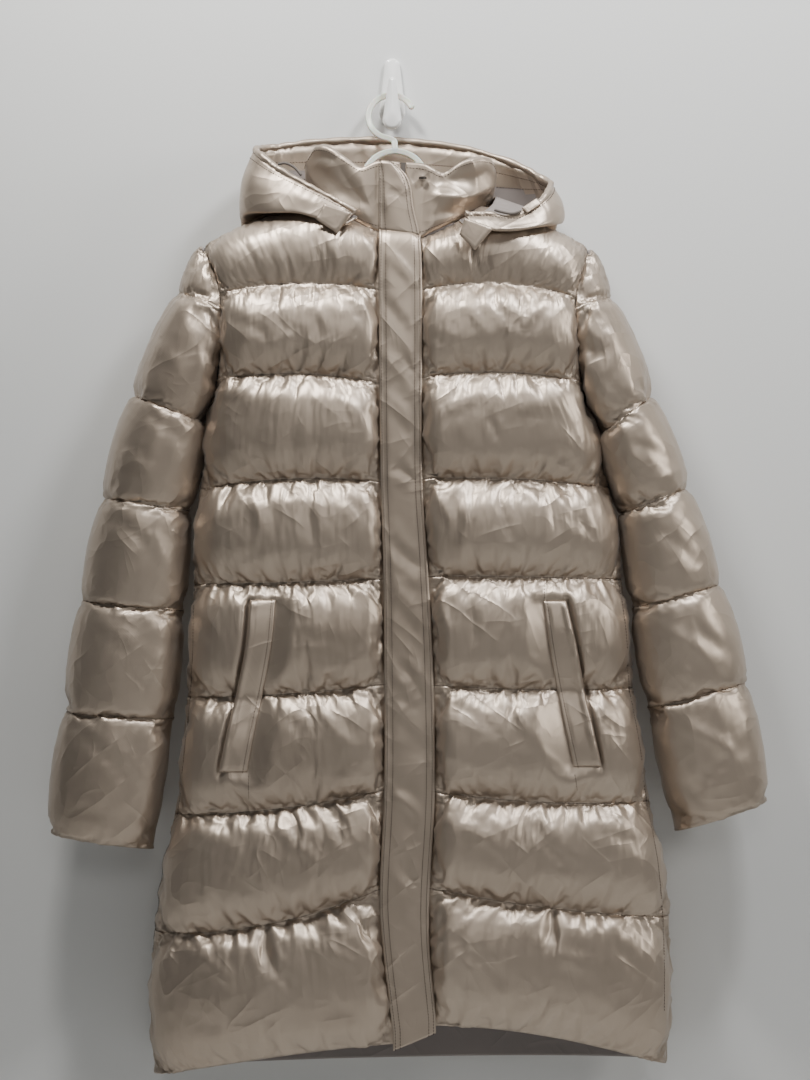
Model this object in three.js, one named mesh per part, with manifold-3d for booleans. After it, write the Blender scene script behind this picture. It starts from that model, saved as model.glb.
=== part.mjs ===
// A long puffer coat on a plastic hanger that hangs on a wall hook.
// Millimetres, +Z up. The wall is the plane Y = 0 and the coat's front faces -Y.
// The origin is the middle of the hook's back face. Left and right are the viewer's.
import * as THREE from 'three';
import { mergeVertices } from 'three/addons/utils/BufferGeometryUtils.js';
import Module from 'manifold-3d';

const wasm = await Module();
wasm.setup();

// Cloth thickness: the seam surface runs through every stitched row
const seamGap = 0.3;
const liningDepth = 1.5;
const seamRise = 1.8;
const frontCrown = 15;
const backCrown = 14;
const sleeveCrown = 8;
const sideDepth = -72;
const armholeSpread = 44;
const ringPower = 2.6;
const pillowPower = 0.55;
const sideFade = 40;
const flapFade = 22;
const neckHeight = -176;
const shoulderBlend = 8;
const armholeGap = 1.3;
const underarmGap = 7.2;

// Where a quilted panel has its grid rows, as parts of one baffle
const baffleSteps = [0, 0.12, 0.35, 0.65, 0.88];
const frontColumnPlaces = [0, 0.02, 0.07, 0.16, 0.3, 0.47, 0.65, 0.73, 0.82, 0.94, 1, 2];
const backColumns = 13;
const sleeveColumns = 12;

// Heights of the stitched rows, where they meet the side, the panel's middle and the flap
const leftRows = [
  { row: 'chest', side: -240, middle: -230, centre: -237 },
  { row: 'underarm', side: -335, middle: -330, centre: -340 },
  { row: 'bust', side: -457, middle: -446, centre: -449 },
  { row: 'waist', side: -563, middle: -560, centre: -556 },
  { row: 'hip', side: -688, middle: -683, centre: -672 },
  { row: 'thigh', side: -818, middle: -809, centre: -788 },
  { row: 'knee', side: -949, middle: -936, centre: -897 },
  { row: 'hem', side: -1108, middle: -1082, centre: -1066 },
];
const rightRows = [
  { row: 'chest', side: -245, middle: -230, centre: -237 },
  { row: 'underarm', side: -338, middle: -328, centre: -334 },
  { row: 'bust', side: -455, middle: -446, centre: -446 },
  { row: 'waist', side: -557, middle: -554, centre: -553 },
  { row: 'hip', side: -678, middle: -678, centre: -673 },
  { row: 'thigh', side: -804, middle: -802, centre: -790 },
  { row: 'knee', side: -932, middle: -918, centre: -896 },
  { row: 'hem', side: -1097, middle: -1060, centre: -1046 },
];
const backMiddle = [-236, -336, -450, -560, -682, -806, -934, -1100];

// Outline of the body: x of each edge by height, and the armhole's half opening in Y
const leftEdge = [
  { z: -187, x: -207, spread: 14 },
  { z: -202, x: -198, spread: 27 },
  { z: -233, x: -190, spread: 41 },
  { z: -256, x: -188, spread: 44 },
  { z: -300, x: -189, spread: 40 },
  { z: -345, x: -194, spread: 24 },
  { z: -380, x: -204, spread: 0 },
  { z: -446, x: -212, spread: 0 },
  { z: -580, x: -220, spread: 0 },
  { z: -681, x: -226, spread: 0 },
  { z: -793, x: -237, spread: 0 },
  { z: -889, x: -253, spread: 0 },
  { z: -964, x: -264, spread: 0 },
  { z: -1108, x: -265, spread: 0 },
];
const rightEdge = [
  { z: -190, x: 216, spread: 14 },
  { z: -204, x: 210, spread: 27 },
  { z: -233, x: 204, spread: 41 },
  { z: -256, x: 202, spread: 44 },
  { z: -300, x: 205, spread: 41 },
  { z: -350, x: 211, spread: 26 },
  { z: -392, x: 226, spread: 0 },
  { z: -446, x: 239, spread: 0 },
  { z: -547, x: 253, spread: 0 },
  { z: -690, x: 269, spread: 0 },
  { z: -824, x: 289, spread: 0 },
  { z: -911, x: 306, spread: 0 },
  { z: -996, x: 308, spread: 0 },
  { z: -1100, x: 306, spread: 0 },
];

// Depth of the front and of the back, without their baffles
const bodyDepth = [
  { z: -175, front: -112, back: -52 },
  { z: -240, front: -121, back: -60 },
  { z: -330, front: -124, back: -52 },
  { z: -450, front: -122, back: -29 },
  { z: -680, front: -126, back: -25 },
  { z: -900, front: -133, back: -25 },
  { z: -1108, front: -138, back: -25 },
];

// Shoulder seams and neckline
const leftShoulder = [
  { x: -207, y: -72, z: -187 },
  { x: -168, y: -69, z: -167 },
  { x: -142, y: -67, z: -157 },
  { x: -86, y: -64, z: -141 },
];
const rightShoulder = [
  { x: 102, y: -64, z: -143 },
  { x: 150, y: -67, z: -159 },
  { x: 186, y: -69, z: -174 },
  { x: 216, y: -72, z: -190 },
];
const frontNeck = [
  { x: -52, y: -94, z: -156 },
  { x: -13, y: -108, z: -174 },
  { x: 10, y: -109, z: -178 },
  { x: 34, y: -109, z: -180 },
  { x: 70, y: -94, z: -163 },
];
const backNeck = [
  { x: -50, y: -46, z: -132 },
  { x: 8, y: -38, z: -128 },
  { x: 66, y: -46, z: -133 },
];

// The closure by height: the flap's left and right edge, and the zip's middle line
const closure = [
  { z: -93, left: -15, right: -1, zip: 13 },
  { z: -112, left: -15, right: 18, zip: 12 },
  { z: -146, left: -15, right: 25, zip: 11 },
  { z: -176, left: -15, right: 32, zip: 10 },
  { z: -240, left: -15, right: 34, zip: 10 },
  { z: -440, left: -13, right: 34, zip: 11 },
  { z: -540, left: -10, right: 40, zip: 15 },
  { z: -650, left: -9, right: 46, zip: 18 },
  { z: -790, left: -9, right: 48, zip: 20 },
  { z: -905, left: -14, right: 42, zip: 15 },
  { z: -960, left: -10, right: 42, zip: 16 },
  { z: -1045, left: 1, right: 49, zip: 25 },
];
const zipGap = 3;
const flapThickness = 4;
const flapCrown = 1.2;
const flapSeat = 2.7;
const flapBelowHem = 7;

// Slanted pocket welts: their two long edges by height
const leftWelt = [
  { z: -579, outer: -156, inner: -128 },
  { z: -627, outer: -160, inner: -132 },
  { z: -681, outer: -171, inner: -142 },
  { z: -724, outer: -181, inner: -151 },
  { z: -768, outer: -190, inner: -159 },
];
const rightWelt = [
  { z: -580, outer: 192, inner: 167 },
  { z: -628, outer: 203, inner: 173 },
  { z: -682, outer: 213, inner: 183 },
  { z: -717, outer: 221, inner: 190 },
  { z: -762, outer: 231, inner: 200 },
];
const weltThickness = 3;
const weltClear = 0.7;
const weltOver = 1.03;

// Collar, round the neck from one front end to the other: x of its foot and its top edge
const collarRing = [
  { foot: 7, topX: 9, topY: -104, topZ: -94 },
  { foot: -15, topX: -16, topY: -104, topZ: -93 },
  { foot: -27, topX: -34, topY: -103, topZ: -99 },
  { foot: -50, rise: 3.4, topX: -54, topY: -99, topZ: -86 },
  { foot: -66, rise: 3.4, topX: -70, topY: -93, topZ: -75 },
  { foot: -82, rise: 3.4, topX: -84, topY: -84, topZ: -73 },
  { foot: -86, topX: -93, topY: -72, topZ: -87 },
  { foot: -76, topX: -90, topY: -57, topZ: -94, back: true },
  { foot: -46, rise: 3, topX: -58, topY: -41, topZ: -98, back: true },
  { foot: 8, rise: 2.6, topX: 5, topY: -32, topZ: -101, back: true },
  { foot: 62, rise: 3, topX: 64, topY: -40, topZ: -99, back: true },
  { foot: 90, topX: 98, topY: -52, topZ: -97, back: true },
  { foot: 102, topX: 112, topY: -70, topZ: -98 },
  { foot: 96, rise: 5, topX: 110, topY: -85, topZ: -88 },
  { foot: 81, rise: 5, topX: 94, topY: -97, topZ: -87 },
  { foot: 65, rise: 5, topX: 76, topY: -102, topZ: -94 },
  { foot: 43, rise: 5, topX: 57, topY: -101, topZ: -105 },
  { foot: 32, topX: 36, topY: -104, topZ: -96 },
  { foot: 13, topX: 16, topY: -104, topZ: -94 },
];
const collarCrown = 6;
const collarSteps = [0, 0.14, 0.5, 0.86, 1];
const footRise = 2.2;

// Hood, from its left front end round the back to its right front end: the rim of its
// opening, the low fold where it turns under, and its seam round the collar's foot
const hoodSections = [
  { rimX: -42, rimY: -122, rimZ: -153,
    foldX: -50, foldY: -127, foldZ: -164, seamX: -38, seamY: -117, seamZ: -157 },
  { rimX: -67, rimY: -120, rimZ: -138,
    foldX: -78, foldY: -126, foldZ: -158, seamX: -60, seamY: -108, seamZ: -146 },
  { rimX: -100, rimY: -113, rimZ: -120,
    foldX: -108, foldY: -122, foldZ: -151, seamX: -84, seamY: -92, seamZ: -133 },
  { rimX: -131, rimY: -104, rimZ: -101,
    foldX: -140, foldY: -112, foldZ: -151, seamX: -98, seamY: -76, seamZ: -126 },
  { rimX: -150, rimY: -88, rimZ: -84,
    foldX: -166, foldY: -90, foldZ: -151, seamX: -99, seamY: -66, seamZ: -124 },
  { rimX: -153, rimY: -64, rimZ: -76,
    foldX: -168, foldY: -52, foldZ: -158, seamX: -96, seamY: -54, seamZ: -124 },
  { rimX: -136, rimY: -38, rimZ: -71,
    foldX: -156, foldY: -27, foldZ: -214, seamX: -82, seamY: -44, seamZ: -124 },
  { rimX: -80, rimY: -20, rimZ: -62,
    foldX: -100, foldY: -20, foldZ: -268, seamX: -46, seamY: -36.3, seamZ: -123 },
  { rimX: 0, rimY: -13, rimZ: -60,
    foldX: 5, foldY: -19, foldZ: -288, seamX: 8, seamY: -28.5, seamZ: -122 },
  { rimX: 80, rimY: -20, rimZ: -69,
    foldX: 110, foldY: -20, foldZ: -270, seamX: 58, seamY: -35, seamZ: -123 },
  { rimX: 138, rimY: -38, rimZ: -89,
    foldX: 166, foldY: -27, foldZ: -218, seamX: 97, seamY: -46, seamZ: -126 },
  { rimX: 172, rimY: -60, rimZ: -110,
    foldX: 184, foldY: -50, foldZ: -156, seamX: 112, seamY: -52, seamZ: -128 },
  { rimX: 178, rimY: -86, rimZ: -120,
    foldX: 188, foldY: -90, foldZ: -159, seamX: 116, seamY: -66, seamZ: -128 },
  { rimX: 166, rimY: -110, rimZ: -140,
    foldX: 171, foldY: -118, foldZ: -164, seamX: 114, seamY: -84, seamZ: -136 },
  { rimX: 138, rimY: -122, rimZ: -158,
    foldX: 144, foldY: -130, foldZ: -170, seamX: 106, seamY: -100, seamZ: -147 },
  { rimX: 108, rimY: -127, rimZ: -156,
    foldX: 116, foldY: -136, foldZ: -172, seamX: 92, seamY: -113, seamZ: -155 },
  { rimX: 82, rimY: -132, rimZ: -157,
    foldX: 84, foldY: -139, foldZ: -170, seamX: 74, seamY: -124, seamZ: -162 },
];
const hoodColumns = 36;
const hoodSeams = [11, 25];
const hoodHalfThickness = 1.4;
const hoodSwell = 7;
const hoodMiddle = { x: 8, y: -62 };
const casingRadius = 3.6;
const casingClear = 1.6;

// Sleeves: outer line and inner line by row, and half depth of the tube
const leftSleeve = [
  { row: 'head', outerX: -210, outerZ: -186, innerX: -208, innerZ: -188, depth: 14 },
  { row: 'cap', outerX: -235, outerZ: -240, innerX: -188.6, innerZ: -256, depth: 45 },
  { row: 'underarm', outerX: -284, outerZ: -354, innerX: -210, innerZ: -383, depth: 50 },
  { row: 'elbow', outerX: -317, outerZ: -467, innerX: -229, innerZ: -480, depth: 45 },
  { row: 'forearm', outerX: -342, outerZ: -581, innerX: -236, innerZ: -592, depth: 41 },
  { row: 'wrist', outerX: -361, outerZ: -706, innerX: -246, innerZ: -712, depth: 38 },
  { row: 'cuff', outerX: -379, outerZ: -842, innerX: -268, innerZ: -858, depth: 33 },
];
const rightSleeve = [
  { row: 'head', outerX: 219, outerZ: -189, innerX: 217, innerZ: -191, depth: 14 },
  { row: 'cap', outerX: 241, outerZ: -246, innerX: 202.6, innerZ: -256, depth: 45 },
  { row: 'underarm', outerX: 285, outerZ: -355, innerX: 233, innerZ: -395, depth: 50 },
  { row: 'elbow', outerX: 325, outerZ: -457, innerX: 259, innerZ: -482, depth: 45 },
  { row: 'forearm', outerX: 361, outerZ: -564, innerX: 272, innerZ: -588, depth: 41 },
  { row: 'wrist', outerX: 391, outerZ: -673, innerX: 288, innerZ: -700, depth: 38 },
  { row: 'cuff', outerX: 417, outerZ: -806, innerX: 318, innerZ: -838, depth: 33 },
];

// Trims of the hood: tabs, eyelet and the two short stretches of drawcord
const leftTab = [
  { x: -74, y: -129.4, z: -143 },
  { x: -44, y: -128.4, z: -153 },
  { x: -60, y: -129.4, z: -176 },
  { x: -84, y: -129.9, z: -160 },
];
const rightTab = [
  { x: 80, y: -140.3, z: -160 },
  { x: 112, y: -140.3, z: -171 },
  { x: 91, y: -141.3, z: -196 },
  { x: 74, y: -140.3, z: -178 },
];
const eyelet = [
  { x: 143, y: -120, z: -147 },
  { x: 160, y: -114, z: -135 },
  { x: 166, y: -115, z: -141 },
  { x: 149, y: -121, z: -153 },
];
const tabThickness = 3;
const cordRadius = 1.5;
const leftCord = [[-126, -109, -97], [-118, -111, -96], [-108, -114, -101], [-100, -116, -110]];
const rightCord = [[113, -127, -149.5], [122, -127, -152], [133, -126, -153.5], [142.6, -124, -150.6]];
const snapPart = 0.79;
const snapRadius = 4.5;
const snapAside = -1;
const snapClear = 4.8;

// Hanger and wall hook
const hanger = {
  ringX: -1, ringZ: -32, ringRadius: 26, rod: 3.6, topY: -15, lean: 0.37, archTop: -73,
  arms: [
    [-186, -192], [-150, -176], [-95, -158], [-62, -142], [-42, -122], [-33, -100], [-18, -80], [3, -73],
    [24, -80], [39, -100], [48, -122], [70, -142], [105, -158], [155, -176], [190, -194],
  ],
};
const hookPlate = { lowRadius: 15, highRadius: 9, low: -38, high: 38, back: 0, front: 6 };
const hookTongue = { lowRadius: 11, highRadius: 5, low: -47, high: 13, back: 23, front: 33 };
const hookFoot = { width: 14, low: -34, high: -11.2 };

function material(color, roughness, metalness) {
  return new THREE.MeshStandardMaterial({ color, roughness, metalness });
}

// Value of one column of a table at a place along its key column, by smooth curves
function read(table, key, at, column) {
  const rising = table[table.length - 1][key] > table[0][key];
  const place = rising ? at : -at;
  const keys = table.map((row) => (rising ? row[key] : -row[key]));
  const values = table.map((row) => row[column]);
  if (place <= keys[0]) return values[0];
  const last = keys.length - 1;
  if (place >= keys[last]) return values[last];
  let k = 0;
  while (place > keys[k + 1]) k += 1;
  const slope = (i) => {
    const low = Math.max(i - 1, 0);
    const high = Math.min(i + 1, last);
    return (values[high] - values[low]) / (keys[high] - keys[low]);
  };
  const span = keys[k + 1] - keys[k];
  const t = (place - keys[k]) / span;
  const rise = values[k + 1] - values[k];
  const start = slope(k) * span;
  const end = slope(k + 1) * span;
  const square = 3 * rise - 2 * start - end;
  const cube = start + end - 2 * rise;
  return values[k] + t * start + t * t * square + t * t * t * cube;
}

function bodyFromGrid(name, outside, inside, finish, joinedFrom = Infinity) {
  const rows = outside.length;
  const columns = outside[0].length;
  const positions = [];
  for (const sheet of [outside, inside]) {
    for (const row of sheet) for (const p of row) positions.push(p.x, p.y, p.z);
  }
  const at = (sheet, r, c) => {
    const column = r >= joinedFrom && c === columns - 1 ? 0 : c;
    return sheet * rows * columns + r * columns + column;
  };
  const faces = [];
  const quad = (a, b, c, d) => faces.push(a, b, c, a, c, d);
  for (let r = 0; r < rows - 1; r += 1) {
    for (let c = 0; c < columns - 1; c += 1) {
      quad(at(0, r, c), at(0, r, c + 1), at(0, r + 1, c + 1), at(0, r + 1, c));
      quad(at(1, r, c), at(1, r + 1, c), at(1, r + 1, c + 1), at(1, r, c + 1));
    }
    if (r < joinedFrom) {
      const end = columns - 1;
      quad(at(0, r, 0), at(0, r + 1, 0), at(1, r + 1, 0), at(1, r, 0));
      quad(at(0, r, end), at(1, r, end), at(1, r + 1, end), at(0, r + 1, end));
    }
  }
  for (let c = 0; c < columns - 1; c += 1) {
    const end = rows - 1;
    quad(at(0, 0, c), at(1, 0, c), at(1, 0, c + 1), at(0, 0, c + 1));
    quad(at(0, end, c), at(0, end, c + 1), at(1, end, c + 1), at(1, end, c));
  }
  const geometry = new THREE.BufferGeometry();
  geometry.setAttribute('position', new THREE.Float32BufferAttribute(positions, 3));
  geometry.setIndex(faces);
  return bodyMesh(name, geometry, finish);
}

// Closed geometry as a named mesh, turned so that its faces point out
function bodyMesh(name, geometry, finish) {
  const bare = geometry.clone();
  for (const key of Object.keys(bare.attributes)) {
    if (key !== 'position') bare.deleteAttribute(key);
  }
  const merged = mergeVertices(bare, 1e-3);
  const index = Array.from(merged.index.array);
  const place = merged.attributes.position;
  const corner = (i) => new THREE.Vector3().fromBufferAttribute(place, i);
  let volume = 0;
  const kept = [];
  for (let i = 0; i < index.length; i += 3) {
    const [a, b, c] = index.slice(i, i + 3);
    if (a === b || b === c || a === c) continue;
    kept.push(a, b, c);
    volume += corner(a).dot(corner(b).cross(corner(c)));
  }
  if (volume < 0) kept.reverse();
  merged.setIndex(kept);
  merged.computeVertexNormals();
  const mesh = new THREE.Mesh(merged, finish);
  mesh.name = name;
  return mesh;
}

// Outward normals of a grid of points; flip turns them round. seam names the axis
// that an edge's wall may not lean along, so that it stays on its side of the seam.
function gridNormals(points, flip, joinedFrom, seam) {
  const lastRow = points.length - 1;
  const lastColumn = points[0].length - 1;
  return points.map((row, r) => row.map((point, c) => {
    const closed = r >= joinedFrom;
    const before = c > 0 ? row[c - 1] : closed ? row[lastColumn - 1] : row[0];
    const after = c < lastColumn ? row[c + 1] : closed ? row[1] : row[lastColumn];
    const above = points[Math.max(r - 1, 0)][c];
    const below = points[Math.min(r + 1, lastRow)][c];
    const across = after.clone().sub(before);
    const down = below.clone().sub(above);
    const normal = across.cross(down).multiplyScalar(flip);
    const axis = seam(r, c);
    if (axis) normal[axis] = 0;
    return normal.normalize();
  }));
}

// A wall on a grid of seam points: lift gives the outside's rise, depth the inside's
function wall(name, points, flip, lift, depth, finish, joinedFrom = Infinity, seam = () => null) {
  const normals = gridNormals(points, flip, joinedFrom, seam);
  const moved = (distance) => points.map((row, r) => row.map((point, c) => (
    point.clone().addScaledVector(normals[r][c], distance(r, c))
  )));
  return bodyFromGrid(name, moved(lift), moved(() => -depth), finish, joinedFrom);
}

// Pillow profile between two stitched rows, from 0 on a row to 1 at mid-baffle
function pillow(part) {
  return Math.pow(Math.max(Math.sin(Math.PI * part), 0), pillowPower);
}

function edgeFade(distance, reach) {
  return Math.sqrt(Math.min(Math.max(distance / reach, 0), 1));
}

// The padding thins out towards the shoulder and neck
function yokeFade(down) {
  return Math.min(0.15 + 0.8 * down, 1);
}

function gridRows(baffles) {
  const places = [];
  for (let k = 0; k < baffles; k += 1) for (const step of baffleSteps) places.push(k + step);
  places.push(baffles);
  return places;
}

// Half opening of the armhole in Y at a height; 0 below the underarm
function armhole(edge, z) {
  return Math.max(read(edge, 'z', z, 'spread'), 0);
}

// Point of the top edge at x: on the shoulder seams, or between them on the neckline
function topEdge(neckline, x) {
  const leftNeck = leftShoulder[leftShoulder.length - 1];
  const rightNeck = rightShoulder[0];
  let table = [leftNeck, ...neckline, rightNeck];
  if (x < leftNeck.x) table = leftShoulder;
  if (x > rightNeck.x) table = rightShoulder;
  return new THREE.Vector3(x, read(table, 'x', x, 'y'), read(table, 'x', x, 'z'));
}

const nylon = material(0x97887a, 0.38, 0.35);
const zipTape = material(0x4b4038, 0.6, 0.1);
const moulded = material(0xe6e3d8, 0.35, 0);
const hookPlastic = material(0xf4f4f2, 0.25, 0);
const darkTrim = material(0x3a302b, 0.5, 0.1);

const leftSide = {
  edge: leftEdge, rows: leftRows, flap: 'left', zip: -zipGap, turn: -1,
};
const rightSide = {
  edge: rightEdge, rows: rightRows, flap: 'right', zip: zipGap, turn: 1,
};

// Middle line of the closure by height
function closureX(z) {
  return read(closure, 'z', z, 'zip');
}

// Height of a row of a front, across 0 at the side to 1 at the flap
function rowHeight(row, across) {
  const { side, middle, centre } = row;
  return side * (1 - across) * (1 - 2 * across) + 4 * middle * across * (1 - across)
    + centre * across * (2 * across - 1);
}

// Depth profile of a ring quarter, from 0 at the side seam to 1 at its middle
function ringDepth(across) {
  return Math.pow(1 - Math.pow(1 - across, ringPower), 1 / ringPower);
}

// Point of a front's seam surface: across 0 side, 1 flap, 2 zip; down counts baffles
function frontPoint(side, across, down) {
  const baffle = Math.min(Math.floor(down), side.rows.length - 1);
  const part = down - baffle;
  const quilted = Math.min(across, 1);
  const lower = side.rows[baffle];
  const upper = baffle > 0 ? side.rows[baffle - 1] : null;
  const low = rowHeight(lower, quilted);
  const spot = (z) => {
    const edgeX = read(side.edge, 'z', z, 'x');
    const flapX = read(closure, 'z', z, side.flap);
    const zipX = closureX(z) + side.zip;
    const x = across <= 1 ? edgeX + (flapX - edgeX) * across : flapX + (zipX - flapX) * (across - 1);
    const edgeY = sideDepth - seamGap / 2 - armhole(side.edge, z);
    const y = edgeY + (read(bodyDepth, 'z', z, 'front') - edgeY) * ringDepth(quilted);
    return new THREE.Vector3(x, y, z);
  };
  if (upper) return spot(rowHeight(upper, quilted) * (1 - part) + low * part);
  const tipX = side.edge[0].x;
  const neckX = read(closure, 'z', neckHeight, side.flap);
  const zipX = closureX(neckHeight) + side.zip;
  const topX = across <= 1 ? tipX + (neckX - tipX) * across : neckX + (zipX - neckX) * (across - 1);
  const top = topEdge(frontNeck, topX);
  const topY = top.y - seamGap / 2;
  const turn = part * Math.PI / 2;
  const chest = spot(low);
  const z = top.z + (low - top.z) * (1 - Math.cos(turn));
  const rim = spot(z);
  const y = topY + (chest.y - topY) * Math.sin(turn);
  const near = Math.pow(1 - quilted, 4);
  const x = topX + (rim.x - topX) * Math.sin(turn);
  return new THREE.Vector3(x, y + (rim.y - y) * near * Math.min(part * shoulderBlend, 1), z);
}

function frontLift(side, across, down) {
  if (across >= 1) return seamRise;
  const width = Math.abs(frontPoint(side, 1, down).x - frontPoint(side, 0, down).x);
  const fade = edgeFade(across * width, sideFade) * edgeFade((1 - across) * width, flapFade);
  return seamRise + frontCrown * pillow(down % 1) * fade * yokeFade(down);
}

function frontPanel(name, side) {
  const columns = frontColumnPlaces;
  const places = gridRows(side.rows.length);
  const points = places.map((down) => columns.map((across) => frontPoint(side, across, down)));
  const lift = (r, c) => frontLift(side, columns[c], places[r]);
  const neckX = side.flap === 'left' ? leftShoulder[3].x : rightShoulder[0].x;
  const seam = (r, c) => {
    if (r === 0 && Math.abs(points[0][c].x) >= Math.abs(neckX)) return 'y';
    if (c > 0) return null;
    return armhole(side.edge, points[r][0].z) > armholeSpread / 2 ? 'x' : 'y';
  };
  return wall(name, points, side.turn, lift, liningDepth, nylon, Infinity, seam);
}

function backPanel() {
  const columns = [];
  for (let c = 0; c <= backColumns; c += 1) {
    const even = 2 * c / backColumns - 1;
    columns.push(0.5 + 0.5 * Math.sin(even * Math.PI / 2));
  }
  const places = gridRows(backMiddle.length);
  const pointAt = (across, down) => {
    const baffle = Math.min(Math.floor(down), backMiddle.length - 1);
    const part = down - baffle;
    const height = (k) => {
      const left = leftRows[k].side;
      const right = rightRows[k].side;
      return left * (1 - across) * (1 - 2 * across) + 4 * backMiddle[k] * across * (1 - across)
        + right * across * (2 * across - 1);
    };
    const spot = (z) => {
      const leftX = read(leftEdge, 'z', z, 'x');
      const rightX = read(rightEdge, 'z', z, 'x');
      const spread = armhole(leftEdge, z) * (1 - across) + armhole(rightEdge, z) * across;
      const edgeY = sideDepth + seamGap / 2 + spread;
      const depth = ringDepth(1 - Math.abs(2 * across - 1));
      const y = edgeY + (read(bodyDepth, 'z', z, 'back') - edgeY) * depth;
      return new THREE.Vector3(leftX + (rightX - leftX) * across, y, z);
    };
    if (baffle > 0) return spot(height(baffle - 1) * (1 - part) + height(baffle) * part);
    const low = height(0);
    const tipX = leftEdge[0].x + (rightEdge[0].x - leftEdge[0].x) * across;
    const top = topEdge(backNeck, tipX);
    const topY = top.y + seamGap / 2;
    const turn = part * Math.PI / 2;
    const z = top.z + (low - top.z) * (1 - Math.cos(turn));
    const rim = spot(z);
    const y = topY + (spot(low).y - topY) * Math.sin(turn);
    const near = Math.pow(Math.abs(2 * across - 1), 4);
    const x = tipX + (rim.x - tipX) * Math.sin(turn);
    return new THREE.Vector3(x, y + (rim.y - y) * near * Math.min(part * shoulderBlend, 1), z);
  };
  const points = places.map((down) => columns.map((across) => pointAt(across, down)));
  const lift = (r, c) => {
    const width = Math.abs(points[r][backColumns].x - points[r][0].x);
    const fade = edgeFade(Math.min(columns[c], 1 - columns[c]) * width, sideFade);
    return seamRise + backCrown * pillow(places[r] % 1) * fade * yokeFade(places[r]);
  };
  const seam = (r, c) => {
    const point = points[r][c];
    if (r === 0 && (point.x <= leftShoulder[3].x || point.x >= rightShoulder[0].x)) return 'y';
    if (c > 0 && c < backColumns) return null;
    const edge = c === 0 ? leftEdge : rightEdge;
    return armhole(edge, point.z) > armholeSpread / 2 ? 'x' : 'y';
  };
  return wall('back', points, 1, lift, liningDepth, nylon, Infinity, seam);
}

// A sleeve's seam surface: above the underarm its rows end on the armhole, below they close
function sleeve(name, table, edge, turn) {
  const last = table.length - 1;
  const places = gridRows(last);
  const keyed = table.map((row, k) => ({ ...row, place: k }));
  const underarmRow = places.indexOf(2);
  const points = places.map((down) => {
    const value = (column) => read(keyed, 'place', down, column);
    const outer = new THREE.Vector2(value('outerX'), value('outerZ'));
    const inner = new THREE.Vector2(value('innerX'), value('innerZ'));
    const spread = armhole(edge, inner.y);
    const open = down < 2 ? Math.asin(Math.min(spread / value('depth'), 1)) : 0;
    if (down <= 2) {
      const pull = armholeGap + underarmGap * Math.max(1 - spread / armholeSpread, 0);
      inner.x = read(edge, 'z', inner.y, 'x') - turn * pull;
    }
    const span = outer.distanceTo(inner);
    const reach = span / (1 + Math.cos(open));
    const inward = inner.clone().sub(outer).normalize();
    const middle = outer.clone().addScaledVector(inward, reach);
    const row = [];
    for (let c = 0; c <= sleeveColumns; c += 1) {
      const angle = open + (2 * Math.PI - 2 * open) * c / sleeveColumns;
      const spot = middle.clone().addScaledVector(inward, reach * Math.cos(angle));
      row.push(new THREE.Vector3(spot.x, sideDepth - value('depth') * Math.sin(angle), spot.y));
    }
    return row;
  });
  const lift = (r, c) => {
    const around = c / sleeveColumns;
    const fade = places[r] < 2 ? edgeFade(Math.min(around, 1 - around), 0.14) : 1;
    const slack = places[r] < 2 ? 1 : 0.12 + 0.88 * Math.pow(Math.sin(Math.PI * around), 0.7);
    const head = places[r] < 1 ? 0.6 : 1;
    return seamRise + sleeveCrown * pillow(places[r] % 1) * fade * slack * head;
  };
  const seam = (r, c) => {
    if (r === 0) return 'x';
    const end = c === 0 || c === sleeveColumns;
    return end && armhole(edge, points[r][c].z) > armholeSpread / 2 ? 'x' : null;
  };
  return wall(name, points, turn, lift, liningDepth, nylon, underarmRow, seam);
}

// Place on a front's grid of the point at x and z
function placeOnFront(side, x, z) {
  const edgeX = read(side.edge, 'z', z, 'x');
  const across = (x - edgeX) / (read(closure, 'z', z, side.flap) - edgeX);
  let k = 1;
  while (rowHeight(side.rows[k], across) > z) k += 1;
  const upper = rowHeight(side.rows[k - 1], across);
  const down = k + (upper - z) / (upper - rowHeight(side.rows[k], across));
  return { across, down };
}

// A welt lies on its front: rows at the front's own grid rows, moved out by the padding
function pocketWelt(name, side, table) {
  const top = table[0].z;
  const bottom = table[table.length - 1].z;
  const middle = (z) => (read(table, 'z', z, 'outer') + read(table, 'z', z, 'inner')) / 2;
  const first = placeOnFront(side, middle(top), top).down;
  const last = placeOnFront(side, middle(bottom), bottom).down;
  const between = gridRows(side.rows.length).filter((d) => d > first + 0.05 && d < last - 0.05);
  const places = [first, ...between, last];
  const points = places.map((down) => [0, 0.5, 1].map((part) => {
    const z = top + (bottom - top) * (down - first) / (last - first);
    const x = read(table, 'z', z, 'outer') * (1 - part) + read(table, 'z', z, 'inner') * part;
    const spot = placeOnFront(side, x, z);
    const seat = frontPoint(side, spot.across, spot.down);
    seat.y -= frontLift(side, spot.across, spot.down) * weltOver + weltClear;
    return seat;
  }));
  return wall(name, points, side.turn, () => weltThickness, 0, nylon);
}

function collarPoint(station, part) {
  const foot = topEdge(station.back ? backNeck : frontNeck, station.foot);
  foot.z += station.rise ?? footRise;
  return foot.lerp(new THREE.Vector3(station.topX, station.topY, station.topZ), part);
}

function collar() {
  const last = collarRing.length - 1;
  const points = collarSteps.map((part) => collarRing.map((station) => collarPoint(station, part)));
  const lift = (r, c) => {
    const underFlap = Math.min(c, last - c) < 2 ? 0 : 1;
    return seamRise + collarCrown * pillow(collarSteps[r]) * underFlap;
  };
  return wall('collar', points, -1, lift, liningDepth, nylon);
}

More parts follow.
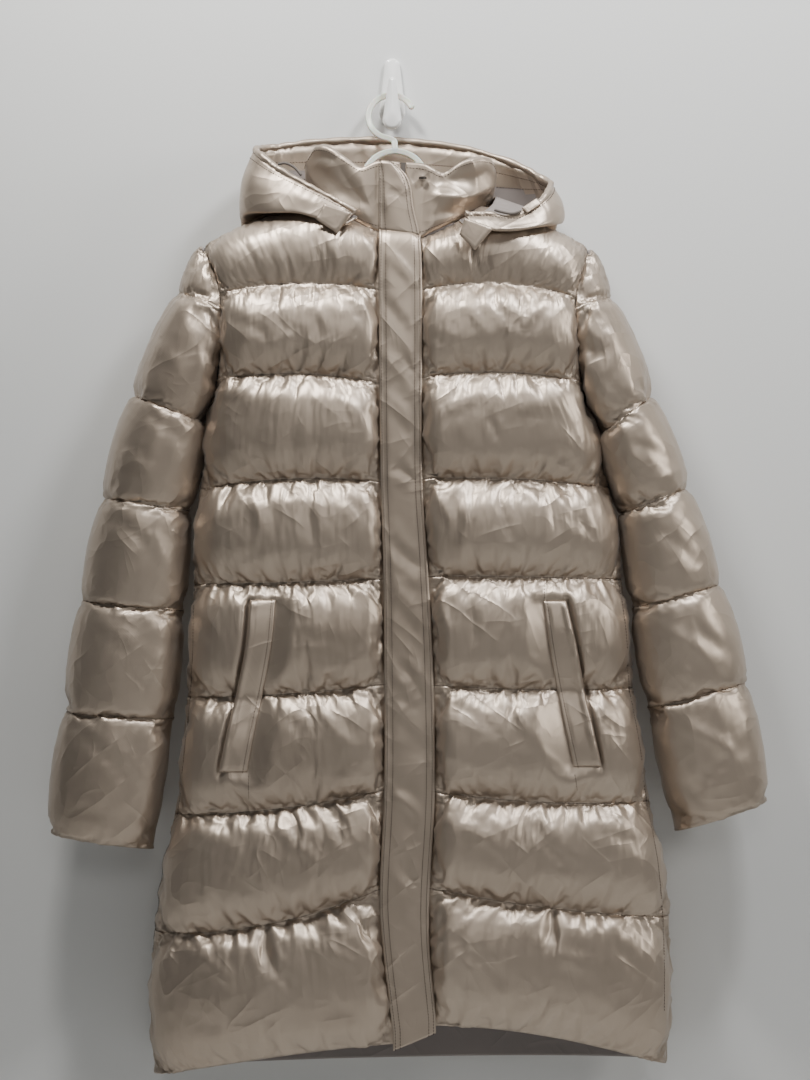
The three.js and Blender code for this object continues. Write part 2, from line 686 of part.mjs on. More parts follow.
// Rows of the closure, from the collar's top to the hem; each row has points from left to right
function closureRows(xs) {
  const rows = [];
  const last = collarRing.length - 1;
  for (let k = collarSteps.length - 1; k > 0; k -= 1) {
    const part = collarSteps[k];
    const left = collarPoint(collarRing[1], part);
    const right = collarPoint(collarRing[last - 1], part);
    rows.push({ left, right });
  }
  for (const down of gridRows(leftRows.length)) {
    rows.push({ left: frontPoint(leftSide, 1, down), right: frontPoint(rightSide, 1, down) });
  }
  return rows.map(({ left, right }) => xs((left.z + right.z) / 2).map((x) => {
    const part = (x - left.x) / (right.x - left.x);
    return new THREE.Vector3(x, left.y + (right.y - left.y) * part, left.z + (right.z - left.z) * part);
  }));
}

function flap() {
  const rows = closureRows((z) => {
    const left = read(closure, 'z', z, 'left') + 0.6;
    const right = read(closure, 'z', z, 'right') - 0.6;
    return [0, 0.2, 0.8, 1].map((part) => left + (right - left) * part);
  });
  const hem = rows[rows.length - 1];
  rows.push(hem.map((point) => point.clone().add(new THREE.Vector3(0, 0, -flapBelowHem))));
  const lift = (r, c) => flapSeat + flapThickness + (c === 1 || c === 2 ? flapCrown : 0);
  return wall('flap', rows, -1, lift, -flapSeat, nylon);
}

function zip() {
  const half = zipGap - seamGap;
  const rows = closureRows((z) => [closureX(z) - half, closureX(z) + half]).slice(0, -4);
  const shifted = (y) => rows.map((row) => row.map((p) => new THREE.Vector3(p.x, p.y + y, p.z)));
  return bodyFromGrid('zip', shifted(-seamRise), shifted(liningDepth), zipTape);
}

// Section of the hood at a column: from the rim down the outside, round the fold, up to the seam
function hoodSection(column) {
  const keyed = hoodSections.map((row, k) => ({ ...row, place: k }));
  const place = column / hoodColumns * (hoodSections.length - 1);
  const value = (column) => read(keyed, 'place', place, column);
  const point = (name) => new THREE.Vector3(value(`${name}X`), value(`${name}Y`), value(`${name}Z`));
  const rim = point('rim');
  const fold = point('fold');
  const seam = point('seam');
  const outward = new THREE.Vector3(rim.x - hoodMiddle.x, rim.y - hoodMiddle.y, 0).normalize();
  const depth = Math.min(rim.distanceTo(fold) / 60, 1);
  const swell = outward.clone().multiplyScalar(hoodSwell * depth);
  const outer = rim.clone().lerp(fold, 0.5).add(swell);
  const under = fold.clone().lerp(seam, 0.5).addScaledVector(outward, -1);
  const curve = new THREE.CatmullRomCurve3([rim, outer, fold, under, seam], false, 'centripetal');
  return { rim, outward, points: curve.getPoints(12) };
}

// One of the hood's cut panels, from one column of the whole hood's grid to another
function hoodPanel(name, from, to) {
  const columns = [];
  for (let c = 0; c <= hoodColumns; c += 1) columns.push(hoodSection(c).points);
  const points = columns[0].map((_, r) => columns.map((column) => column[r]));
  const normals = gridNormals(points, -1, Infinity, () => null);
  const side = (distance) => points.map((row, r) => {
    const cut = row.slice(from, to + 1);
    return cut.map((point, k) => {
      const moved = point.clone();
      const next = k === 0 ? cut[1] : cut[k - 1];
      const sewn = (k === 0 && from > 0) || (k === cut.length - 1 && to < hoodColumns);
      if (sewn) moved.addScaledVector(next.clone().sub(point).normalize(), seamGap);
      return moved.addScaledVector(normals[r][from + k], distance);
    });
  });
  return bodyFromGrid(name, side(hoodHalfThickness), side(-hoodHalfThickness), nylon);
}

function circle(radius, sides) {
  const shape = new THREE.Shape();
  for (let k = 0; k < sides; k += 1) {
    const angle = 2 * Math.PI * k / sides;
    const [x, y] = [radius * Math.cos(angle), radius * Math.sin(angle)];
    if (k === 0) shape.moveTo(x, y);
    else shape.lineTo(x, y);
  }
  shape.closePath();
  return shape;
}

function tube(name, points, radius, steps, sides, finish) {
  const extrudePath = new THREE.CatmullRomCurve3(points);
  const geometry = new THREE.ExtrudeGeometry(circle(radius, sides), { steps, extrudePath });
  return bodyMesh(name, geometry, finish);
}

function hoodCasing() {
  const path = [];
  for (let c = 0; c <= hoodColumns; c += 1) {
    const { rim, points } = hoodSection(c);
    const away = rim.clone().sub(points[1]).normalize();
    path.push(rim.clone().addScaledVector(away, casingRadius + casingClear));
  }
  return tube('hood_edge', path, casingRadius, 44, 6, nylon);
}

// A stretch of the hood's drawcord that shows
function hoodCord(name, places) {
  const points = places.map(([x, y, z]) => new THREE.Vector3(x, y, z));
  return tube(name, points, cordRadius, 6, 8, darkTrim);
}

// A flat cloth tab from its four corners, front face first
function tab(name, corners, thickness) {
  const grid = (y) => [
    [0, 1].map((k) => new THREE.Vector3(corners[k].x, corners[k].y + y, corners[k].z)),
    [3, 2].map((k) => new THREE.Vector3(corners[k].x, corners[k].y + y, corners[k].z)),
  ];
  return bodyFromGrid(name, grid(-thickness), grid(0), nylon);
}

// The snap sits on the collar beside the flap's top
function collarSnap() {
  const station = collarRing[collarRing.length - 2];
  const seat = collarPoint(station, snapPart);
  const profile = [[0, 0], [snapRadius, 0], [snapRadius, 1.4], [snapRadius - 1.2, 2.4], [0, 2.4]];
  const geometry = new THREE.LatheGeometry(profile.map(([x, y]) => new THREE.Vector2(x, y)), 20);
  geometry.rotateX(Math.PI / 2);
  geometry.translate(seat.x + snapAside, seat.y - seamRise - snapClear, seat.z);
  return bodyMesh('collar_snap', geometry, darkTrim);
}

// Drop outline between two heights: a round end below and a smaller one above
function dropShape(lowRadius, highRadius, low, high) {
  const lean = Math.asin((lowRadius - highRadius) / (high - highRadius - low - lowRadius));
  const shape = new THREE.Shape();
  shape.absarc(0, high - highRadius, highRadius, lean, Math.PI - lean, false);
  shape.absarc(0, low + lowRadius, lowRadius, Math.PI - lean, 2 * Math.PI + lean, false);
  shape.closePath();
  return shape;
}

// Drop extruded away from the wall, with a rounded front edge
function drop(name, size, bevel) {
  const { lowRadius, highRadius, low, high } = size;
  const shape = dropShape(lowRadius - bevel, highRadius - bevel, low + bevel, high - bevel);
  const geometry = new THREE.ExtrudeGeometry(shape, {
    depth: size.front - size.back - bevel,
    curveSegments: 8,
    bevelThickness: bevel,
    bevelSize: bevel,
    bevelSegments: 2,
  });
  const place = geometry.attributes.position;
  for (let k = 0; k < place.count; k += 1) if (place.getZ(k) < 0) place.setZ(k, 0);
  geometry.rotateX(Math.PI / 2);
  geometry.translate(0, -size.back, 0);
  return bodyMesh(name, geometry, hookPlastic);
}

function solidOf(mesh) {
  const { geometry } = mesh;
  const vertProperties = new Float32Array(geometry.attributes.position.array);
  const triVerts = new Uint32Array(geometry.index.array);
  return new wasm.Manifold(new wasm.Mesh({ numProp: 3, vertProperties, triVerts }));
}

function joined(name, parts, finish) {
  let solid = solidOf(parts[0]);
  for (const part of parts.slice(1)) solid = solid.add(solidOf(part));
  const { vertProperties, triVerts } = solid.getMesh();
  const geometry = new THREE.BufferGeometry();
  geometry.setAttribute('position', new THREE.Float32BufferAttribute(vertProperties, 3));
  geometry.setIndex(Array.from(triVerts));
  return bodyMesh(name, geometry, finish);
}

// Hook: a plate on the wall, and a foot that carries a tongue standing up in front of it
function wallHook() {
  const { width, low, high } = hookFoot;
  const foot = new THREE.BoxGeometry(width, hookTongue.back, high - low);
  foot.translate(0, -hookTongue.back / 2 - 3, (high + low) / 2);
  const plate = drop('plate', hookPlate, 2.5);
  const tongue = drop('tongue', hookTongue, 3);
  return joined('wall_hook', [plate, tongue, bodyMesh('foot', foot, hookPlastic)], hookPlastic);
}

// The hanger leans forward from the hook, so Y follows height
function leaning(x, z) {
  return new THREE.Vector3(x, hanger.topY + (z - hanger.ringZ - hanger.ringRadius) * hanger.lean, z);
}

function coatHanger() {
  const { ringX, ringZ, ringRadius, rod } = hanger;
  const ring = [];
  for (let degrees = 22; degrees <= 262; degrees += 12) {
    const angle = degrees * Math.PI / 180;
    ring.push(leaning(ringX + ringRadius * Math.cos(angle), ringZ + ringRadius * Math.sin(angle)));
  }
  const ringLow = ringZ - ringRadius;
  ring.push(leaning(2, ringLow - 3), leaning(3, ringLow - 9), leaning(3, hanger.archTop - 1));
  const arms = hanger.arms.map(([x, z]) => leaning(x, z));
  const parts = [
    tube('ring', ring, rod, 26, 8, moulded),
    tube('arms', arms, rod, 28, 6, moulded),
  ];
  return joined('hanger', parts, moulded);
}

const coat = new THREE.Group();
coat.add(frontPanel('front_left', leftSide));
coat.add(frontPanel('front_right', rightSide));
coat.add(backPanel());
coat.add(sleeve('sleeve_left', leftSleeve, leftEdge, 1));
coat.add(sleeve('sleeve_right', rightSleeve, rightEdge, -1));
coat.add(collar());
coat.add(flap());
coat.add(zip());
coat.add(pocketWelt('pocket_welt_left', leftSide, leftWelt));
coat.add(pocketWelt('pocket_welt_right', rightSide, rightWelt));
coat.add(hoodPanel('hood_left', 0, hoodSeams[0]));
coat.add(hoodPanel('hood_centre', hoodSeams[0], hoodSeams[1]));
coat.add(hoodPanel('hood_right', hoodSeams[1], hoodColumns));
coat.add(hoodCasing());
coat.add(tab('hood_tab_left', leftTab, tabThickness));
coat.add(tab('hood_tab_right', rightTab, tabThickness));
coat.add(tab('hood_eyelet', eyelet, tabThickness));
coat.add(hoodCord('hood_cord_left', leftCord));
coat.add(hoodCord('hood_cord_right', rightCord));
coat.add(collarSnap());
coat.add(coatHanger());
coat.add(wallHook());
export default coat;
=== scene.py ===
"""A long puffer coat on a hanger and wall hook, laid out as a Blender add-on and run as a script."""

import math

import bmesh
import bpy
import numpy as np
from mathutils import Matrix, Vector


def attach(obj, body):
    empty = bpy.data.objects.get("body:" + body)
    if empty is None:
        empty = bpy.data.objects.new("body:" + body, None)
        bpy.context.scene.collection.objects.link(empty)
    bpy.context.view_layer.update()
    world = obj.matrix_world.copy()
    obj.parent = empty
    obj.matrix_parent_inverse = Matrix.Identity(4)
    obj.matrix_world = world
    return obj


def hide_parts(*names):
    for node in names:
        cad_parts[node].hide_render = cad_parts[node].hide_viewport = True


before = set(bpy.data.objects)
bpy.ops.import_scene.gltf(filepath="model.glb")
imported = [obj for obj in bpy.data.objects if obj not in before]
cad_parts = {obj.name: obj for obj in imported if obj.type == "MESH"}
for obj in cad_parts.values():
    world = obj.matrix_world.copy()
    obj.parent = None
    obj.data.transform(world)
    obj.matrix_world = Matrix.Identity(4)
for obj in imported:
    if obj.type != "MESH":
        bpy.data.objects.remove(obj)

bl_info = {
    "name": "Puffer coat on a wall hook",
    "version": (1, 0, 0),
    "blender": (4, 5, 0),
    "location": "View3D > Sidebar > Coat",
    "description": "Builds the quilted coat, its hood, trims, hanger and studio",
    "category": "Object",
}

# Sizes below are in millimetres, as in the solids; METRE turns them into scene units
METRE = 0.001
SEED = 11
SEAM_GAP = 0.3
LINING_DEPTH = 1.5
SEAM_RISE = 1.8
FRONT_CROWN = 15.0
BACK_CROWN = 14.0
SLEEVE_CROWN = 8.0
SIDE_DEPTH = -72.0
ARMHOLE_SPREAD = 44.0
ARMHOLE_GAP = 1.3
UNDERARM_GAP = 7.2
ZIP_GAP = 3.0
NECK_HEIGHT = -176.0
BACK_LIMIT = -0.4
FOOT_RISE = 2.2
COLLAR_CROWN = 6.0
SNAP_PLACE = (32.5, -113.0)
FLAP_THICKNESS = 4.0
FLAP_CROWN = 1.2
FLAP_SEAT = 2.7
FLAP_BELOW_HEM = 7.0
WELT_THICKNESS = 3.0
WELT_CLEAR = 0.7
MOUTH_DEPTH = 5.0
HOOD_HALF_THICKNESS = 1.4
HOOD_SWELL = 7.0
FACING_WIDTH = 27.0
HOOD_MIDDLE = (8.0, -62.0)
CASING_RADIUS = 3.6
CASING_SEAT = -0.9
CORD_RADIUS = 1.5

# Fine grids and the padding's simulation
FRONT_COLUMNS = 108
BACK_COLUMNS = 104
SLEEVE_COLUMNS = 96
BAFFLE_STEPS = 26
COLLAR_COLUMNS = 220
COLLAR_STEPS = 26
FLAP_COLUMNS = 18
FLAP_STEPS = 18
WELT_STEPS = 64
HOOD_COLUMNS = 288
HOOD_STEPS = 40
HOOD_SEAM_PARTS = 36
HOOD_SEAMS = (11, 25)
CASING_STEPS = 420
CASING_SIDES = 16
SIM_FRAMES = 11
SIM_PRESSURE = 40.0
SIM_SLACK = 0.08
GATHER_DEPTH = 1.1
GATHER_SIZES = [(2.2, 4.2, 9, 26, 1.0), (5.5, 11.0, 26, 62, 1.5)]


def named(columns, rows):
    """Rows of values as dictionaries, by the names of their columns."""
    return [dict(zip(columns.split(), row)) for row in rows]


# Heights of the stitched rows, where they meet the side, the panel's middle and the flap
LEFT_ROWS = named("row side middle centre", [
    ('chest', -240, -230, -237), ('underarm', -335, -330, -340), ('bust', -457, -446, -449),
    ('waist', -563, -560, -556), ('hip', -688, -683, -672), ('thigh', -818, -809, -788),
    ('knee', -949, -936, -897), ('hem', -1108, -1082, -1066),
])
RIGHT_ROWS = named("row side middle centre", [
    ('chest', -245, -230, -237), ('underarm', -338, -328, -334), ('bust', -455, -446, -446),
    ('waist', -557, -554, -553), ('hip', -678, -678, -673), ('thigh', -804, -802, -790),
    ('knee', -932, -918, -896), ('hem', -1097, -1060, -1046),
])
BACK_MIDDLE = [-236, -336, -450, -560, -682, -806, -934, -1100]

# Outline of the body: x of each edge by height, and the armhole's half opening in Y
LEFT_EDGE = named("z x spread", [
    (-187, -207, 14), (-202, -198, 27), (-233, -190, 41), (-256, -188, 44), (-300, -189, 40),
    (-345, -194, 24), (-380, -204, 0), (-446, -212, 0), (-580, -220, 0), (-681, -226, 0), (-793, -237, 0),
    (-889, -253, 0), (-964, -264, 0), (-1108, -265, 0),
])

RIGHT_EDGE = named("z x spread", [
    (-190, 216, 14), (-204, 210, 27), (-233, 204, 41), (-256, 202, 44), (-300, 205, 41), (-350, 211, 26),
    (-392, 226, 0), (-446, 239, 0), (-547, 253, 0), (-690, 269, 0), (-824, 289, 0), (-911, 306, 0),
    (-996, 308, 0), (-1100, 306, 0),
])

# Depth of the front and of the back, without their baffles
BODY_DEPTH = named("z front back", [
    (-175, -112, -52), (-240, -121, -60), (-330, -124, -52), (-450, -122, -29), (-680, -126, -25),
    (-900, -133, -25), (-1108, -138, -25),
])

# Shoulder seams and neckline
LEFT_SHOULDER = named("x y z", [
    (-207, -72, -187), (-168, -69, -167), (-142, -67, -157), (-86, -64, -141),
])

RIGHT_SHOULDER = named("x y z", [
    (102, -64, -143), (150, -67, -159), (186, -69, -174), (216, -72, -190),
])

FRONT_NECK = named("x y z", [
    (-52, -94, -156), (-13, -108, -174), (10, -109, -178), (34, -109, -180), (70, -94, -163),
])

BACK_NECK = named("x y z", [
    (-50, -46, -132), (8, -38, -128), (66, -46, -133),
])

# The closure by height: the flap's left and right edge, and the zip's middle line
CLOSURE = named("z left right zip", [
    (-93, -15, -1, 13), (-112, -15, 18, 12), (-146, -15, 25, 11), (-176, -15, 32, 10), (-240, -15, 34, 10),
    (-440, -13, 34, 11), (-540, -10, 40, 15), (-650, -9, 46, 18), (-790, -9, 48, 20), (-905, -14, 42, 15),
    (-960, -10, 42, 16), (-1045, 1, 49, 25),
])

# Slanted pocket welts: their two long edges by height
LEFT_WELT = named("z outer inner", [
    (-579, -156, -128), (-627, -160, -132), (-681, -171, -142), (-724, -181, -151), (-768, -190, -159),
])

RIGHT_WELT = named("z outer inner", [
    (-580, 192, 167), (-628, 203, 173), (-682, 213, 183), (-717, 221, 190), (-762, 231, 200),
])

# Collar, round the neck from one front end to the other: its foot and its top edge
COLLAR_RING = [
    {"foot": 7, "topX": 9, "topY": -104, "topZ": -94},
    {"foot": -15, "topX": -16, "topY": -104, "topZ": -93},
    {"foot": -27, "topX": -34, "topY": -103, "topZ": -99},
    {"foot": -50, "rise": 3.4, "topX": -54, "topY": -99, "topZ": -86},
    {"foot": -66, "rise": 3.4, "topX": -70, "topY": -93, "topZ": -75},
    {"foot": -82, "rise": 3.4, "topX": -84, "topY": -84, "topZ": -73},
    {"foot": -86, "topX": -93, "topY": -72, "topZ": -87},
    {"foot": -76, "topX": -90, "topY": -57, "topZ": -94, "back": True},
    {"foot": -46, "rise": 3, "topX": -58, "topY": -41, "topZ": -98, "back": True},
    {"foot": 8, "rise": 2.6, "topX": 5, "topY": -32, "topZ": -101, "back": True},
    {"foot": 62, "rise": 3, "topX": 64, "topY": -40, "topZ": -99, "back": True},
    {"foot": 90, "topX": 98, "topY": -52, "topZ": -97, "back": True},
    {"foot": 102, "topX": 112, "topY": -70, "topZ": -98},
    {"foot": 96, "rise": 5, "topX": 110, "topY": -85, "topZ": -88},
    {"foot": 81, "rise": 5, "topX": 94, "topY": -97, "topZ": -87},
    {"foot": 65, "rise": 5, "topX": 76, "topY": -102, "topZ": -94},
    {"foot": 43, "rise": 5, "topX": 57, "topY": -101, "topZ": -105},
    {"foot": 32, "topX": 36, "topY": -104, "topZ": -96},
    {"foot": 13, "topX": 16, "topY": -104, "topZ": -94},
]

# Hood, from its left front end round the back to its right front end
HOOD_SECTIONS = named("rimX rimY rimZ foldX foldY foldZ seamX seamY seamZ", [
    (-42, -122, -153, -50, -127, -164, -38, -117, -157),
    (-67, -120, -138, -78, -126, -158, -60, -108, -146),
    (-100, -113, -120, -108, -122, -151, -84, -92, -133),
    (-131, -104, -101, -140, -112, -151, -98, -76, -126), (-150, -88, -84, -166, -90, -151, -99, -66, -124),
    (-153, -64, -76, -168, -52, -158, -96, -54, -124), (-136, -38, -71, -156, -27, -214, -82, -44, -124),
    (-80, -20, -62, -100, -20, -268, -46, -36.3, -123), (0, -13, -60, 5, -19, -288, 8, -28.5, -122),
    (80, -20, -69, 110, -20, -270, 58, -35, -123), (138, -38, -89, 166, -27, -218, 97, -46, -126),
    (172, -60, -110, 184, -50, -156, 112, -52, -128), (178, -86, -120, 188, -90, -159, 116, -66, -128),
    (166, -110, -140, 171, -118, -164, 114, -84, -136), (138, -122, -158, 144, -130, -170, 106, -100, -147),
    (108, -127, -156, 116, -136, -172, 92, -113, -155), (82, -132, -157, 84, -139, -170, 74, -124, -162),
])

# Sleeves: outer and inner line by row, and half depth of the tube
LEFT_SLEEVE = named("row outerX outerZ innerX innerZ depth", [
    ('head', -210, -186, -208, -188, 14), ('cap', -235, -240, -188.6, -256, 45),
    ('underarm', -284, -354, -210, -383, 50), ('elbow', -317, -467, -229, -480, 45),
    ('forearm', -342, -581, -236, -592, 41), ('wrist', -361, -706, -246, -712, 38),
    ('cuff', -379, -842, -268, -858, 33),
])

RIGHT_SLEEVE = named("row outerX outerZ innerX innerZ depth", [
    ('head', 219, -189, 217, -191, 14), ('cap', 241, -246, 202.6, -256, 45),
    ('underarm', 285, -355, 233, -395, 50), ('elbow', 325, -457, 259, -482, 45),
    ('forearm', 361, -564, 272, -588, 41), ('wrist', 391, -673, 288, -700, 38),
    ('cuff', 417, -806, 318, -838, 33),
])

LEFT_TAB = named("x y z", [
    (-74, -129.4, -143), (-44, -128.4, -153), (-60, -129.4, -176), (-84, -129.9, -160),
])
RIGHT_TAB = named("x y z", [
    (80, -140.3, -160), (112, -140.3, -171), (91, -141.3, -196), (74, -140.3, -178),
])
EYELET = named("x y z", [
    (143, -120, -147), (160, -114, -135), (166, -115, -141), (149, -121, -153),
])
LEFT_CORD = [(-126, -109, -97), (-118, -111, -96), (-108, -114, -101), (-100, -116, -110)]
RIGHT_CORD = [(113, -127, -149.5), (122, -127, -152), (133, -126, -153.5), (142.6, -124, -150.6)]
TAB_THICKNESS = 3.0
CORD_STEPS = 24

HANGER = {
    "ring_x": -1, "ring_z": -32, "ring_radius": 26, "rod": 3.6, "top_y": -15, "lean": 0.37, "arch_top": -73,
    "arms": [
        (-186, -192), (-150, -176), (-95, -158), (-62, -142), (-42, -122), (-33, -100), (-18, -80), (3, -73),
        (24, -80), (39, -100), (48, -122), (70, -142), (105, -158), (155, -176), (190, -194),
    ],
}
HOOK = {
    "plate_low": -38, "plate_high": 38, "tongue_low": -47, "tongue_high": 13,
    "foot_low": -34, "foot_high": -11,
}
LIGHTS = [
    ("Key", (-0.35, -0.66, 0.8), (0, -0.05, -0.35), (0.28, 0.2), 19, (1, 0.985, 0.95)),
    ("Right key", (0.6, -0.72, 0.82), (0.1, -0.05, -0.3), (0.28, 0.2), 17, (0.98, 0.99, 1)),
    ("Right fill", (1.75, -0.95, 0.1), (0.3, -0.05, -0.3), (0.5, 0.6), 12, (1, 0.97, 0.92)),
    ("Front fill", (0.1, -3.3, 0.5), (0, -0.1, -0.3), (1.2, 0.8), 9, (1, 0.97, 0.93)),
    ("Back fill", (0.3, 2.6, 0.8), (0, 0, -0.6), (1.4, 1.0), 10, (1, 1, 1)),
]
# Camera straight on: middle of the view in metres, distance to the coat's side seams, height seen there
CAMERA = {"x": 0.0146, "z": -0.513, "distance": 3.2, "height_seen": 1.21}

# Creases given one by one: from one point to another in X and Z, bowed aside, with depth and half width
# Each crease: its two ends (x, z, x, z), its bow, its depth (below 0 it is a ridge) and its half width.
LEFT_CREASES = [
    (-40, -178, -10, -222, 3, -2.2, 4.5), (-69, -192, -52, -226, 2, -1.8, 4),
    (-112, -196, -96, -228, 2, 1.6, 5), (-176, -271, -128, -295, 4, 2, 4),
    (-133, -294, -103, -328, 3, -2.2, 3.8), (-128, -274, -86, -288, -3, 1.8, 4),
    (-64, -285, -34, -279, 2, -1.6, 3.6), (-61, -240, -22, -276, 4, -2.4, 4.5),
    (-88, -256, -70, -284, 2, -2, 4.5), (-193, -364, -149, -360, 2, 2, 4),
    (-196, -390, -168, -418, 3, 1.8, 4.5), (-70, -352, -38, -380, 4, -2.4, 5),
    (-151, -404, -142, -440, 3, 2.6, 6), (-106, -386, -103, -436, -3, 2.4, 7),
    (-60, -400, -56, -438, 2, 1.8, 5), (-55, -470, -30, -496, 3, 2.2, 4), (-103, -549, -60, -532, 3, -2, 4),
    (-170, -536, -128, -512, -3, 1.6, 4.5), (-150, -468, -140, -505, 3, -2.2, 6),
    (-90, -470, -84, -520, -3, 2, 6), (-127, -620, -50, -626, 3, 2, 4), (-55, -650, -24, -634, 2, -2, 4),
    (-54, -562, -24, -584, 3, -2, 4), (-214, -598, -186, -626, 3, 1.8, 4),
    (-96, -660, -60, -668, 2, 1.6, 4), (-150, -700, -96, -724, 4, 2.2, 4.5),
    (-84, -690, -40, -742, -4, -2.2, 4.5), (-196, -742, -160, -776, 3, 1.8, 4.5),
    (-60, -760, -26, -748, 2, 1.6, 4), (-220, -826, -150, -850, 5, 2.2, 5),
    (-130, -820, -70, -870, -4, -2.4, 5), (-60, -836, -24, -882, 4, 2, 4.5),
    (-190, -880, -140, -902, 3, 1.8, 4.5), (-232, -962, -168, -1000, 5, -2.4, 5.5),
    (-150, -948, -92, -1010, -5, 2.6, 5), (-88, -956, -36, -984, 4, -2.2, 5),
    (-70, -1020, -28, -1040, 3, 1.8, 4.5), (-216, -1040, -160, -1056, 3, 1.8, 5),
]
RIGHT_CREASES = [
    (66, -182, 96, -214, 3, 2, 5), (134, -202, 138, -230, 1, 2.4, 3.6),
    (160, -200, 190, -226, 3, -1.8, 4.5), (78, -258, 106, -290, 3, -2, 4),
    (105, -248, 147, -286, -3, 2.2, 4), (139, -283, 172, -252, 2, -2, 4), (38, -288, 80, -309, 3, 1.8, 4),
    (176, -262, 200, -290, 2, 1.6, 4.5), (126, -370, 182, -366, 3, -2.6, 3.8),
    (44, -382, 110, -350, 3, -2, 4), (110, -374, 116, -402, -3, 2.4, 4), (134, -428, 184, -419, 3, -2, 4),
    (166, -410, 204, -441, 3, 1.8, 4), (70, -396, 84, -436, 3, 2.2, 6), (42, -458, 69, -494, 3, -2.2, 4.5),
    (163, -450, 175, -512, 4, 2.4, 5), (83, -454, 75, -540, 4, -2.4, 5), (120, -468, 132, -520, -3, 2, 6),
    (190, -486, 214, -520, 3, 1.8, 4.5), (85, -568, 89, -632, 3, 2.4, 6), (52, -574, 62, -610, 2, -2, 5),
    (118, -580, 150, -616, 4, 2, 5), (110, -650, 140, -664, 3, 1.6, 4), (60, -694, 120, -730, 4, 2.2, 4.5),
    (130, -690, 168, -744, -4, -2.4, 5), (206, -700, 240, -730, 3, 1.8, 4.5),
    (58, -760, 104, -776, 3, 1.6, 4.5), (58, -820, 128, -858, 5, -2.4, 5),
    (150, -824, 206, -880, -4, 2.4, 5), (220, -836, 268, -856, 3, 1.8, 4.5),
    (90, -880, 150, -902, 3, 1.8, 4.5), (60, -950, 130, -1000, 5, 2.6, 5),
    (150, -946, 226, -986, -5, -2.4, 5.5), (84, -1030, 150, -1016, 3, 1.8, 5),
    (236, -960, 276, -1010, 4, 2, 5), (190, -1020, 250, -1044, 3, 1.8, 5),
]
BACK_CREASES = [
    (-150, -262, -90, -300, 4, 2, 4.5), (-60, -250, 10, -296, -4, -2.2, 5),
    (60, -256, 130, -300, 4, 2.2, 4.5), (-170, -360, -110, -420, 4, -2.4, 5),
    (-70, -370, -20, -410, 3, 2, 5), (40, -356, 110, -400, -4, 2.2, 5), (140, -380, 190, -430, 4, -2.2, 5),
    (-150, -480, -80, -530, 4, 2.2, 5), (-40, -474, 30, -510, -4, -2.2, 5), (80, -480, 150, -536, 4, 2, 5),
    (-190, -590, -130, -640, 4, -2.2, 5), (-80, -600, 0, -650, 5, 2.4, 5), (50, -590, 120, -630, -4, -2, 5),
    (150, -600, 210, -660, 4, 2.2, 5), (-170, -720, -90, -770, 4, 2.2, 5),
    (-50, -710, 40, -760, -5, -2.4, 5), (90, -720, 180, -780, 4, 2.2, 5),
    (-200, -840, -120, -890, 5, -2.4, 5.5), (-70, -840, 10, -900, 4, 2.2, 5),
    (60, -836, 150, -880, -4, -2.2, 5), (-180, -980, -90, -1040, 5, 2.6, 5.5),
    (-40, -970, 60, -1030, -5, -2.4, 5.5), (110, -960, 210, -1030, 5, 2.4, 5.5),
]
LEFT_SLEEVE_CREASES = [
    (-226, -250, -206, -300, 3, 2, 5), (-262, -300, -226, -330, 3, -2, 4.5),
    (-268, -378, -232, -410, 3, 2.2, 5), (-300, -420, -262, -440, 3, -2, 4.5),
    (-310, -490, -262, -530, 4, 2.2, 5), (-270, -500, -246, -548, -3, -2, 5),
    (-326, -604, -272, -640, 4, -2.2, 5), (-300, -650, -262, -684, 3, 2, 4.5),
    (-346, -730, -286, -784, 4, 2.4, 5), (-300, -740, -262, -800, -3, -2.2, 5),
    (-354, -810, -300, -822, 3, 1.8, 4.5),
]
RIGHT_SLEEVE_CREASES = [
    (226, -236, 250, -280, 3, -2, 5), (232, -330, 262, -372, 3, 2.2, 4.5),
    (262, -300, 284, -350, -3, -2, 5), (262, -404, 300, -430, 3, 2, 4.5),
    (280, -450, 316, -436, 3, -2, 4.5), (286, -500, 332, -540, 4, 2.2, 5), (310, -490, 344, -520, 3, -2, 5),
    (300, -610, 350, -650, 4, -2.2, 5), (330, -600, 366, -640, -3, 2, 5),
    (326, -720, 380, -760, 5, -2.8, 6), (336, -790, 384, -744, 4, 2.6, 5), (318, -770, 350, -810, 3, 2, 5),
]
COLLAR_CREASES = [
    (-92, -96, -28, -160, -5, -3.6, 6), (-60, -92, -16, -152, -4, 4.6, 13), (-84, -84, -60, -92, 2, 2, 4),
    (36, -130, 112, -110, -10, -4.2, 6), (46, -114, 100, -103, -4, 4.8, 12),
    (84, -84, 90, -120, 3, -2.4, 5), (40, -156, 76, -150, 3, 1.8, 5), (-44, -150, -20, -170, 2, 1.8, 5),
]
FLAP_CREASES = [
    (-6, -128, 18, -136, 2, 1.4, 4), (-4, -200, 26, -232, 3, -2, 5), (-8, -250, 24, -286, -3, 1.8, 5),
    (-6, -300, 28, -336, 3, 2, 5), (-4, -356, 30, -398, 4, -2, 5), (-2, -430, 28, -452, 3, 1.8, 4.5),
    (-4, -512, 34, -545, -3, 2.2, 5), (4, -566, 36, -612, 4, -2.2, 6), (0, -640, 40, -700, 4, 2, 5),
    (6, -700, 38, -724, 3, -1.8, 5), (-2, -752, 42, -742, 2, 2, 4.5), (0, -790, 40, -832, 4, -2.2, 6),
    (0, -850, 36, -900, -4, 2.2, 5), (6, -910, 38, -940, 3, -1.8, 5), (4, -965, 38, -990, 3, 1.8, 4.5),
]

